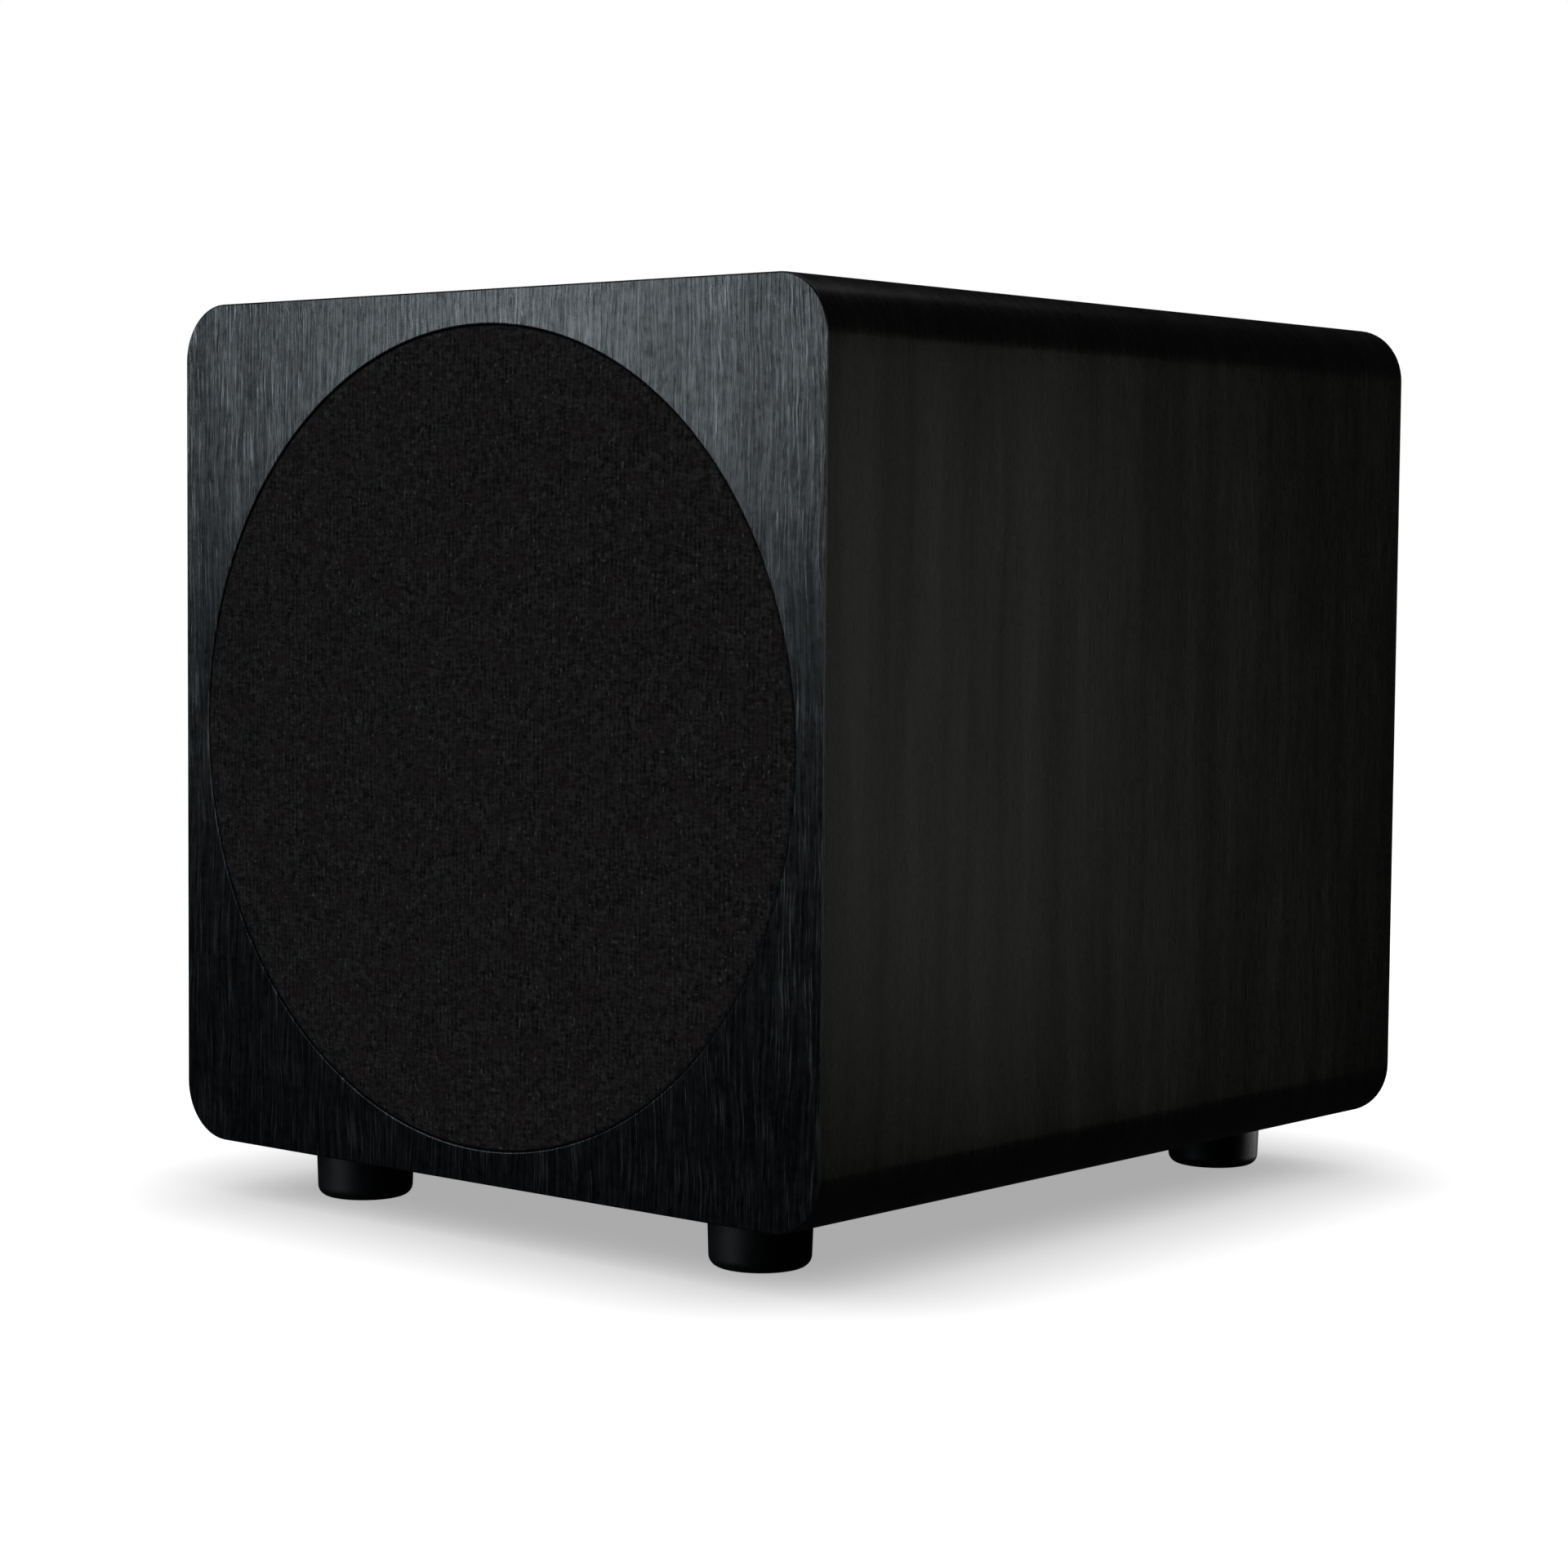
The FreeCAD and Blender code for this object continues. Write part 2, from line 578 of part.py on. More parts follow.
def plate_blank(depth0, depth1):
    blank = rounded_bar(AMP_W, AMP_H, AMP_CORNER_R, depth0, depth1)
    for x, h in amp_screw_places():
        blank = blank.cut(rod(x, h, depth0 - 1, depth1 + 1, 2.1))
    return blank


def amp_gasket():
    """The foam seal under the plate."""
    return plate_blank(CABINET_D, AMP_BACK).cut(
        rounded_bar(AMP_HOLE_W, AMP_HOLE_H, 6, CABINET_D - 1, AMP_BACK + 1))


def amp_plate():
    """The plate that carries the whole amplifier, with an opening for each control and socket."""
    plate = plate_blank(AMP_BACK, AMP_FACE)
    low, high = AMP_BACK - 1, AMP_FACE + 1
    holes = [rod(*place, low, high, BUSHING_R + 0.1) for place in (VOLUME_AT, CROSSOVER_AT)]
    holes += [rounded_bar(SLOT_W, SLOT_H, 0.6, low, high, *place) for place in (PHASE_AT, MODE_AT)]
    holes += [rod(*place, low, high, JACK_R + 0.15) for place in JACKS_AT]
    holes += [rod(*LED_AT, low, high, 2.6), rod(*TRANSFORMER_AT, low, high, 3.2)]
    holes += [rod(*place, low, high, 1.7) for place in SINK_SCREWS]
    holes.append(rounded_bar(INLET_W + 0.4, INLET_H + 0.4, 1.5, low, high, *INLET_AT))
    holes.append(rounded_bar(ROCKER_W + 0.4, ROCKER_H + 0.4, 1.0, low, high, *ROCKER_AT))
    return plate.cut(Part.makeCompound(holes))


def amp_screws():
    one = screw(3.6, 2.4, 1.8, 15.0, 2.5)
    return Part.makeCompound([aimed(one, Vector(x, at(AMP_FACE), up(h)), Y) for x, h in amp_screw_places()])


def heat_sink():
    """An extruded sink: a base with upright fins."""
    width, low, high, fins = 170.0, 34.0, 106.0, 18
    base = block(-width / 2, width / 2, AMP_FACE, AMP_FACE + 4, low, high)
    pitch = (width - 2.0) / (fins - 1)
    blades = [block(-width / 2 + pitch * i, -width / 2 + pitch * i + 2, AMP_FACE + 3, REACH, low, high)
              for i in range(fins)]
    sink = fused([base, *blades])
    for place in SINK_SCREWS:
        sink = sink.cut(rod(*place, AMP_FACE - 1, AMP_FACE + 3.5, 1.6))
    return sink


def transformer():
    """A toroidal mains transformer on a rubber pad."""
    x, h = TRANSFORMER_AT
    core = tube(x, h, 340, AMP_BACK - 1, 40, 14)
    core = core.makeFillet(7, [e for e in core.Edges if e.Closed and e.Length > 80])
    return Part.makeCompound([core, tube(x, h, AMP_BACK - 1, AMP_BACK, 36, 14)])


BOARD_LOW, BOARD_HIGH, BOARD_HALF, BOARD_BACK, BOARD_T = 32.0, 106.0, 82.0, 364.0, 1.6


def standoff_places():
    x, edge = BOARD_HALF - 5, 5
    return [(-x, BOARD_LOW + edge), (x, BOARD_LOW + edge), (-x, BOARD_HIGH - edge), (x, BOARD_HIGH - edge)]


def main_board():
    """The power amplifier's board."""
    board = block(-BOARD_HALF, BOARD_HALF, BOARD_BACK - BOARD_T, BOARD_BACK, BOARD_LOW, BOARD_HIGH)
    for x, h in standoff_places():
        board = board.cut(rod(x, h, BOARD_BACK - BOARD_T - 1, BOARD_BACK + 1, 1.7))
    return board


def board_components():
    """Reservoir capacitors and coils on the board's open side, and output transistors against the plate."""
    front = BOARD_BACK - BOARD_T
    cans = [rod(x, 84, front - 32, front, 11) for x in (-50, -24, 24, 50)]
    cans = [c.makeFillet(1.2, [e for e in c.Edges if e.Closed]) for c in cans]
    coils = [tube(x, 52, front - 12, front, 9, 4) for x in (-34, 34)]
    chips = [block(x - 8, x + 8, AMP_BACK - 5, AMP_BACK, 60, 81) for x in (-60, -20, 20, 60)]
    small = [block(x - 4, x + 4, front - 9, front, 40, 52) for x in (-66, -14, 14, 66)]
    return Part.makeCompound([*cans, *coils, *chips, *small])


def input_board():
    """The board behind the controls and jacks, cut away round the transformer."""
    front = INPUT_BOARD_BACK - BOARD_T
    wide = block(-96, 92, front, INPUT_BOARD_BACK, -16, 24)
    narrow = block(-96, -2, front, INPUT_BOARD_BACK, -42, -16)
    return fused([wide, narrow])


def amp_hardware():
    """The board's stand-offs and screws, the heat sink's screws, and the transformer's bolt and washer."""
    small = screw(2.8, 1.8, 1.5, 6.2, 2.0)
    made = [aimed(small, Vector(x, at(AMP_BACK), up(h)), -Y) for x, h in SINK_SCREWS]
    for x, h in standoff_places():
        made.append(tube(x, h, BOARD_BACK, AMP_BACK, 3, 1.7))
        made.append(aimed(small, Vector(x, at(BOARD_BACK - BOARD_T), up(h)), -Y))
    x, h = TRANSFORMER_AT
    head, nut = prism(6, 10, 4), prism(6, 10, 5)
    bolt = aimed(head, Vector(x, at(AMP_FACE), up(h)), Y).fuse(rod(x, h, 331, AMP_FACE + 1, 3))
    made.append(bolt.removeSplitter())
    made.append(tube(x, h, 338, 340, 27, 3.2))
    made.append(aimed(nut, Vector(x, at(338), up(h)), -Y).cut(rod(x, h, 330, 340, 3.1)))
    return Part.makeCompound(made)


def pot_bodies():
    """The two potentiometers: can, threaded bushing and nut."""
    made = []
    for x, h in (VOLUME_AT, CROSSOVER_AT):
        can = rounded_bar(16, 16, 1.5, INPUT_BOARD_BACK, AMP_BACK, x, h)
        bushing = rod(x, h, AMP_BACK - 1, AMP_FACE + 2.2, BUSHING_R)
        body = fused([can, bushing]).cut(rod(x, h, 370, AMP_FACE + 3, 3.08))
        nut = aimed(prism(6, 10, 1.8), Vector(x, at(AMP_FACE), up(h)), Y)
        made += [body, nut.cut(rod(x, h, AMP_FACE - 1, AMP_FACE + 3, BUSHING_R + 0.02))]
    return Part.makeCompound(made)


def knob(place):
    """A fluted knob with a pointer groove, and the shaft that it turns."""
    x, h = place
    radius, height, flutes = 10.0, 13.5, 24
    body = rod(x, h, KNOB_BASE, KNOB_BASE + height, radius)
    top = at(KNOB_BASE + height)
    body = body.makeChamfer(1.0, [e for e in body.Edges if abs(e.BoundBox.YMin - top) < 0.01])
    for i in range(flutes):
        angle = 2 * math.pi * (i + 0.5) / flutes
        body = body.cut(rod(x + (radius + 0.45) * math.cos(angle), h + (radius + 0.45) * math.sin(angle),
                            KNOB_BASE + 2, KNOB_BASE + height + 1, 0.95))
    face = KNOB_BASE + height
    body = body.cut(block(x - 0.5, x + 0.5, face - 0.5, face + 1, h + 2.5, h + radius + 1))
    body = body.cut(rod(x, h, KNOB_BASE - 1, KNOB_BASE + 10, 3.0))
    body = body.cut(rod(x, h, KNOB_BASE - 1, KNOB_BASE + 1.6, 6.6))
    shaft = rod(x, h, 370.4, KNOB_BASE + 10, 3.0)
    return Part.makeCompound([body, shaft])


def slide_switch_bodies():
    """The two slide switches' frames, open towards their slots."""
    made = []
    for x, h in (PHASE_AT, MODE_AT):
        frame = block(x - 10, x + 10, INPUT_BOARD_BACK, AMP_BACK, h - 4, h + 4)
        made.append(frame.cut(block(x - 6.5, x + 6.5, 370, AMP_BACK + 1, h - 2.4, h + 2.4)))
    return Part.makeCompound(made)


PHASE_REST, MODE_REST = 2.0, 0.0  # each slider's distance from the middle of its slot, towards +X


def slider(place, offset):
    """A switch's slider: a foot inside the frame and a nub with ribs outside."""
    x, h = place[0] + offset, place[1]
    base = block(x - 4, x + 4, 370.4, AMP_BACK - 0.3, h - 2.1, h + 2.1)
    nub = block(x - 2, x + 2, AMP_BACK - 0.5, AMP_FACE + 3, h - 1.8, h + 1.8)
    for groove in (-1.0, 0.0, 1.0):
        nub = nub.cut(block(x + groove - 0.2, x + groove + 0.2, AMP_FACE + 2.6, AMP_FACE + 4, h - 3, h + 3))
    return fused([base, nub])


def power_switch_housing():
    """The rocker switch's housing, with a bezel outside the plate and a hole for each pivot pin."""
    x, h = ROCKER_AT
    bezel = rounded_bar(ROCKER_W + 3, ROCKER_H + 3, 1.5, AMP_FACE, AMP_FACE + 1.8, x, h)
    body = rounded_bar(ROCKER_W, ROCKER_H, 0.8, 357, AMP_FACE + 0.5, x, h)
    cavity = rounded_bar(ROCKER_CAVITY_W, ROCKER_CAVITY_H, 0, AMP_FACE + 1.8 - ROCKER_CAVITY_REACH,
                         AMP_FACE + 3, x, h)
    sockets = Part.makeCylinder(1.6, ROCKER_CAVITY_W + 2.4,
                                Vector(x - ROCKER_CAVITY_W / 2 - 1.2, at(ROCKER_PIVOT), up(h)), X)
    return fused([bezel, body]).cut(cavity).cut(sockets)


def power_rocker():
    """The rocker, resting on its off side, with its pivot pins."""
    x, h = ROCKER_AT
    width = ROCKER_CAVITY_W - 0.8
    profile = Part.Face(Part.Wire(chain([
        (5.6, -11.2), (3.6, 0, "arc"), (5.6, 11.2), (1.0, 10.6), (-7.5, 4.5), (-8.5, 0, "arc"), (-7.5, -4.5),
        (1.0, -10.6), (5.6, -11.2)])))
    body = profile.extrude(Z * width)
    body.rotate(Vector(0, 0, 0), Vector(1, 1, 1), 120)
    body.translate(Vector(-width / 2, 0, 0))
    pins = Part.makeCylinder(1.5, ROCKER_CAVITY_W + 2.0, Vector(-ROCKER_CAVITY_W / 2 - 1.0, 0, 0), X)
    body = fused([body, pins])
    body.rotate(Vector(0, 0, 0), X, -ROCKER_TILT)
    body.translate(Vector(x, at(ROCKER_PIVOT), up(h)))
    return body


def mains_inlet():
    """The mains inlet: a housing with the socket and the fuse drawer's bay, and three blades."""
    x, h = INLET_AT
    bezel = rounded_bar(INLET_W + 6, INLET_H + 5, 2.5, AMP_FACE, AMP_FACE + 2, x, h)
    body = rounded_bar(INLET_W, INLET_H, 1.2, INLET_BACK, AMP_FACE + 0.5, x, h)
    face = AMP_FACE + 2
    hollow = rounded_bar(SOCKET_W, SOCKET_H, 1.5, face - SOCKET_DEPTH, face + 1, x, h + SOCKET_UP)
    corners = [block(x + side * SOCKET_W / 2 - 3.6, x + side * SOCKET_W / 2 + 3.6, face - SOCKET_DEPTH - 1,
                     face + 2, -3.6, 3.6) for side in (-1, 1)]
    for corner in corners:
        middle = corner.CenterOfMass
        corner.rotate(middle, Y, 45)
        corner.translate(Vector(0, 0, up(h + SOCKET_UP - SOCKET_H / 2 - 1.4) - middle.z))
        hollow = hollow.cut(corner)
    bay = rounded_bar(DRAWER_W, DRAWER_H, 0, face - DRAWER_REACH, face + 1, x, h + DRAWER_UP)
    housing = fused([bezel, body]).cut(hollow).cut(bay)
    floor = face - SOCKET_DEPTH
    blades = [block(x + dx - 1, x + dx + 1, floor, face - 3, h + SOCKET_UP + dz - 2, h + SOCKET_UP + dz + 2)
              for dx, dz in ((-7, 0), (7, 0), (0, 3.2))]
    return Part.makeCompound([housing, *blades])


def fuse_drawer():
    """The fuse drawer and the glass fuse that lies in it."""
    x, h = INLET_AT[0], INLET_AT[1] + DRAWER_UP
    face = AMP_FACE + 2
    gap = 0.35
    half_w, half_h = DRAWER_W / 2 - gap, DRAWER_H / 2 - gap
    body = block(x - half_w, x + half_w, face - DRAWER_REACH + 1.4, face + 0.8, h - half_h, h + half_h)
    body = body.cut(block(x - 10.6, x + 10.6, face - 14, face - 6, h - half_h + 0.9, h + half_h + 1))
    body = body.cut(block(x - 5, x + 5, face - 0.6, face + 2, h - half_h - 1, h - half_h + 1.4))
    fuse_place = Vector(x - 10, at(face - 10), up(h - half_h + 0.9 + 2.75))
    glass = Part.makeCylinder(2.2, 9, fuse_place + X * 5.5, X)
    caps = [Part.makeCylinder(2.6, 5.5, fuse_place + X * shift, X) for shift in (0, 14.5)]
    return Part.makeCompound([body, glass, *caps])


def rca_jacks():
    """Four phono jacks: a plated barrel with a shoulder, and an insulating core with the pin's hole."""
    made = []
    for x, h in JACKS_AT:
        shoulder = aimed(prism(6, 11, 2), Vector(x, at(AMP_FACE), up(h)), Y)
        barrel = rod(x, h, INPUT_BOARD_BACK, AMP_FACE + JACK_REACH, JACK_R)
        shell = fused([shoulder, barrel]).cut(rod(x, h, 372, AMP_FACE + JACK_REACH + 1, JACK_R - 0.85))
        core = rod(x, h, 372, AMP_FACE + JACK_REACH - 0.4, JACK_R - 0.85)
        core = core.cut(rod(x, h, AMP_FACE + 0.5, AMP_FACE + JACK_REACH, JACK_HOLE_R))
        made += [shell, core]
    return Part.makeCompound(made)


def status_led():
    x, h = LED_AT
    lens = rod(x, h, INPUT_BOARD_BACK, AMP_FACE + 2.2, 2.5)
    return lens.makeFillet(1.8, [e for e in lens.Edges if abs(e.BoundBox.YMin - at(AMP_FACE + 2.2)) < 0.01])


LEAD_R = 1.2
CLIP_HEIGHT = -100.0


def speaker_leads():
    """The pair of leads from the amplifier's board to the driver's tabs."""
    made = []
    board = BOARD_BACK - BOARD_T
    for x, tab in ((-4.5, -7.0), (4.5, 7.0)):
        route = [(x, at(board), up(44)), (x, at(334), up(44)), (x, at(318), up(20)), (x, at(314), up(-20)),
                 (x, at(300), up(-60)), (x, at(270), up(-88)), (x, at(240), up(CLIP_HEIGHT)),
                 (x, at(200), up(CLIP_HEIGHT)), (x, at(155), up(CLIP_HEIGHT - 8)),
                 (tab, at(110), up(-114)), (tab, at(80), up(-112)), (tab, at(59.8 + LEAD_R + 0.1), up(-108))]
        made.append(bent_wire(route, LEAD_R))
    return Part.makeCompound(made)


def lead_clip():
    """A saddle on the brace that the leads run through."""
    return block(-10, 10, BRACE_FRONT + 2, BRACE_FRONT + 8, -BRACE_WINDOW / 2, CLIP_HEIGHT + 4)


# ---- Every piece, by name -----------------------------------------------------------------------------------
def all_parts():
    parts = dict(walls())
    parts["vinyl_wrap"] = vinyl_wrap()
    parts["front_panel"] = front_panel()
    parts["inner_baffle"] = inner_baffle()
    parts["rear_panel"] = rear_panel()
    parts["window_brace"] = window_brace()
    parts["glue_cleats"] = glue_cleats()
    parts.update(linings())
    for name, place in foot_places().items():
        parts["foot_" + name] = foot(place)
    parts["foot_fasteners"] = foot_fasteners()

    basket = driver_basket()
    parts["driver_basket"] = basket
    parts["driver_gasket"] = flange_ring(117.5, FLANGE_R, FLANGE_FRONT + FLANGE_T, REBATE_FLOOR)
    parts["trim_ring"] = trim_ring()
    parts["driver_screws"] = driver_screws()
    parts["driver_terminals"] = driver_terminals(basket)
    parts["top_plate"] = ring(27.4, 60, GAP_FRONT, MAGNET_FRONT)
    parts["magnet_ring"] = ring(38, 66, MAGNET_FRONT, MAGNET_BACK)
    parts["pole_yoke"] = lathe([
        (8, GAP_FRONT), (24.2, GAP_FRONT), (24.2, MAGNET_BACK), (60, MAGNET_BACK),
        (60, MAGNET_BACK + BACK_PLATE_T - 2), (58, MAGNET_BACK + BACK_PLATE_T), (8, MAGNET_BACK + BACK_PLATE_T),
    ])
    parts["cone"] = cone()
    parts["dust_cap"] = dust_cap()
    parts["voice_coil_former"] = ring(FORMER_R - 0.4, FORMER_R, 54, COIL_BACK)
    parts["voice_coil"] = ring(FORMER_R + 0.03, FORMER_R + 1.2, COIL_FRONT, COIL_BACK)
    parts["surround"] = surround()
    parts["spider"] = spider()
    parts["tinsel_leads"] = tinsel_leads()

    parts["grille_frame"] = grille_frame()
    parts["grille_cloth"] = grille_cloth()
    parts["grille_magnets"] = discs(4.0, GRILLE_BACK - 2.5, GRILLE_BACK)
    parts["baffle_magnets"] = discs(5.0, FRONT_T, FRONT_T + 3)

    parts["amp_gasket"] = amp_gasket()
    parts["amp_plate"] = amp_plate()
    parts["amp_screws"] = amp_screws()
    parts["heat_sink"] = heat_sink()
    parts["transformer"] = transformer()
    parts["main_board"] = main_board()
    parts["board_components"] = board_components()
    parts["input_board"] = input_board()
    parts["amp_hardware"] = amp_hardware()
    parts["pot_bodies"] = pot_bodies()
    parts["volume_knob"] = knob(VOLUME_AT)
    parts["crossover_knob"] = knob(CROSSOVER_AT)
    parts["slide_switch_bodies"] = slide_switch_bodies()
    parts["phase_slider"] = slider(PHASE_AT, PHASE_REST)
    parts["mode_slider"] = slider(MODE_AT, MODE_REST)
    parts["power_switch_housing"] = power_switch_housing()
    parts["power_rocker"] = power_rocker()
    parts["mains_inlet"] = mains_inlet()
    parts["fuse_drawer"] = fuse_drawer()
    parts["rca_jacks"] = rca_jacks()
    parts["status_led"] = status_led()
    leads = speaker_leads()
    parts["speaker_leads"] = leads
    parts["lead_clip"] = lead_clip().cut(leads)
    return parts


def main():
    os.makedirs(OUT, exist_ok=True)
    parts = all_parts()
    for name, shape in sorted(parts.items()):
        bad = [i for i, s in enumerate(shape.Solids) if not s.isValid() or s.Volume <= 0]
        if bad or not shape.Solids:
            print("PROBLEM", name, bad, len(shape.Solids))
        shape.exportStep(f"{OUT}/{name}.step")
    print(len(parts), "parts")


main()
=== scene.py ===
"""The visual model of a powered subwoofer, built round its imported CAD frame.

Lengths in names that end in _MM, and the numbers given to mm(), at() and up(), are millimetres; the rest are metres.
"""

import json
import math

import bmesh
import bpy
from mathutils import Matrix, Vector
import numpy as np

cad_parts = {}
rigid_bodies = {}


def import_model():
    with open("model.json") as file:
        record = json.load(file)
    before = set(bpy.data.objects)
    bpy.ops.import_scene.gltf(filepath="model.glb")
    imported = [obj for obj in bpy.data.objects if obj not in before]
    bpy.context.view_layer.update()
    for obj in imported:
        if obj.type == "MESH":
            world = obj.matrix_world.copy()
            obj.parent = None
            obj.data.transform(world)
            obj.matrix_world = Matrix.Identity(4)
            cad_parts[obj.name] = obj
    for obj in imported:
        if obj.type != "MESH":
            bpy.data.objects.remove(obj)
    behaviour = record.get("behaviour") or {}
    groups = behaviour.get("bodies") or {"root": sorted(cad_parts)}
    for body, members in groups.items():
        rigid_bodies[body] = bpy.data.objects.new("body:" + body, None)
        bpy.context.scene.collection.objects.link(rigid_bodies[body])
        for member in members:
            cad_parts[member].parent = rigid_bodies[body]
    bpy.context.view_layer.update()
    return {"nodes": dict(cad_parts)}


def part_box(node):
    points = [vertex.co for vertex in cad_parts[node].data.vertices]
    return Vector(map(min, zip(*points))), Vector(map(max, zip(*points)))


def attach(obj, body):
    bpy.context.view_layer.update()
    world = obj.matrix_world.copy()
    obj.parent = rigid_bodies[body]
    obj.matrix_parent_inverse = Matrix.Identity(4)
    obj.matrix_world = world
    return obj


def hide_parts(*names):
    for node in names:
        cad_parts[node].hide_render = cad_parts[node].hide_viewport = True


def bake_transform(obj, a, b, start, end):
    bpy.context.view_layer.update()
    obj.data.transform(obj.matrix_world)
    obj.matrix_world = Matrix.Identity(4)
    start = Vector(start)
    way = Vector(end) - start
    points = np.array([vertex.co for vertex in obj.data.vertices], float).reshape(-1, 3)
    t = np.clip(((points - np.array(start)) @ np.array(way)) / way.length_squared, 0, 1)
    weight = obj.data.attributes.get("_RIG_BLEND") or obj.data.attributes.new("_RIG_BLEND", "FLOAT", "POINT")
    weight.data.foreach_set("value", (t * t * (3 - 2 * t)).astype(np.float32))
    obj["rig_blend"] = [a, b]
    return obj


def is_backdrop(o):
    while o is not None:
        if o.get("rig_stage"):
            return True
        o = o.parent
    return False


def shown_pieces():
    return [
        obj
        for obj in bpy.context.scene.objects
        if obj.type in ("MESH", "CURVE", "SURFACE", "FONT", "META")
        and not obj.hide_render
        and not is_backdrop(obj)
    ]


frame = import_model()
nodes = frame["nodes"]

X = Vector((1, 0, 0))
Y = Vector((0, 1, 0))
Z = Vector((0, 0, 1))

# ---- Places, from the frame ----
CABINET_LOW, CABINET_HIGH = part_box("vinyl_wrap")
CABINET_MIDDLE = (CABINET_LOW + CABINET_HIGH) / 2
CABINET_H = CABINET_HIGH.z - CABINET_LOW.z
AXIS_FRONT = Vector((CABINET_MIDDLE.x, CABINET_LOW.y, CABINET_MIDDLE.z))  # the driver's axis, at the front face
AXIS = Vector((CABINET_MIDDLE.x, 0, CABINET_MIDDLE.z))
FULL_TURN = 2 * math.pi


def mm(value):
    return value * 0.001


def at(depth):
    """Y of a depth behind the cabinet's front face."""
    return CABINET_LOW.y + mm(depth)


def up(height):
    """Z of a height above the driver's axis."""
    return CABINET_MIDDLE.z + mm(height)


def in_mm(value):
    return value / 0.001


def depth_of(y):
    """The depth, in millimetres, of a Y."""
    return in_mm(y - CABINET_LOW.y)


def configure(thing, **settings):
    for key, value in settings.items():
        setattr(thing, key, value)


# ---- Materials ----
class Tree:
    """A node tree being built."""

    def __init__(self, tree):
        self.tree = tree

    def node(self, kind, inputs, **settings):
        made = self.tree.nodes.new("ShaderNode" + kind)
        configure(made, **settings)
        for key, value in inputs.items():
            self.feed(made.inputs[key], value)
        return made

    def feed(self, socket, value):
        if isinstance(value, bpy.types.Node):
            value = value.outputs[0]
        if isinstance(value, bpy.types.NodeSocket):
            self.tree.links.new(value, socket)
        else:
            socket.default_value = value


class Finish(Tree):
    """A material being built, with a short call for each kind of node."""

    def __init__(self, name, **sockets):
        self.material = bpy.data.materials.new(name)
        self.material.use_nodes = True
        super().__init__(self.material.node_tree)
        self.shader = self.tree.nodes["Principled BSDF"]
        self.normal = None
        for key, value in sockets.items():
            self.shader.inputs[key.replace("_", " ")].default_value = value

    def drive(self, socket, value):
        self.feed(self.shader.inputs[socket], value)

    def math(self, operation, *values):
        return self.node("Math", dict(enumerate(values)), operation=operation)

    def times(self, first, second):
        return self.math("MULTIPLY", first, second)

    def plus(self, first, second):
        return self.math("ADD", first, second)

    def weighed(self, first, share, second, other_share):
        """first * share + second * other_share."""
        return self.math("MULTIPLY_ADD", first, share, self.times(second, other_share))

    def sine(self, value, scale):
        return self.math("SINE", self.times(value, scale))

    def place(self, stretch=(1, 1, 1)):
        """Object coordinates, which are the frame's metres, stretched."""
        coordinates = self.node("TexCoord", {}).outputs["Object"]
        return self.node("Mapping", {"Vector": coordinates, "Scale": stretch})

    def axes(self, vector=None):
        """The three numbers of a vector, or of the place in the frame."""
        vector = vector or self.node("TexCoord", {}).outputs["Object"]
        return self.node("SeparateXYZ", {0: vector}).outputs

    def vector(self, x, y, z=0.0):
        return self.node("CombineXYZ", {0: x, 1: y, 2: z})

    def noise(self, vector, scale, detail=3.0, roughness=0.55):
        return self.node("TexNoise", {"Vector": vector, "Scale": scale, "Detail": detail, "Roughness": roughness})

    def cells(self, vector, scale):
        return self.node("TexVoronoi", {"Vector": vector, "Scale": scale})

    def span(self, value, low, high, new_low=0.0, new_high=1.0):
        """A value that goes from low to high, mapped to go from new_low to new_high, and held there beyond."""
        return self.node("MapRange", {0: value, 1: low, 2: high, 3: new_low, 4: new_high})

    def ramp(self, value, dark, light, low=0.35, high=0.65):
        """Colour from dark to light as the value goes from low to high."""
        made = self.node("ValToRGB", {0: value})
        made.color_ramp.elements[0].position = low
        made.color_ramp.elements[0].color = (*dark, 1)
        made.color_ramp.elements[1].position = high
        made.color_ramp.elements[1].color = (*light, 1)
        return made

    def mix(self, share, first, second):
        made = self.node("Mix", {0: share}, data_type="RGBA")
        for index, value in ((6, first), (7, second)):
            self.feed(made.inputs[index], (*value, 1) if isinstance(value, tuple) else value)
        return made.outputs[2]

    def colour(self, value):
        self.drive("Base Color", value)

    def rough(self, value, low, high):
        self.drive("Roughness", self.span(value, 0.3, 0.7, low, high))

    def relief(self, height, depth):
        """Bump of that depth in metres, on top of what is there."""
        inputs = {"Height": height, "Distance": depth}
        if self.normal is not None:
            inputs["Normal"] = self.normal
        self.normal = self.node("Bump", inputs).outputs[0]
        self.drive("Normal", self.normal)

    def eased(self, radius):
        """Rounds the normals at edges, and gives how near to an edge a point is, from 0 to 1."""
        self.normal = self.node("Bevel", {"Radius": radius}, samples=4).outputs[0]
        true_normal = self.node("NewGeometry", {}).outputs["True Normal"]
        match = self.node("VectorMath", {0: self.normal, 1: true_normal}, operation="DOT_PRODUCT").outputs["Value"]
        return self.span(match, 0.995, 0.9)


finishes = {}


def finish(name, *numbers, **sockets):
    """Has the function below fill in the material of that name."""
    def fill_in(function):
        made = Finish(name, **sockets)
        function(made, *numbers)
        finishes[name] = made.material
        return function
    return fill_in


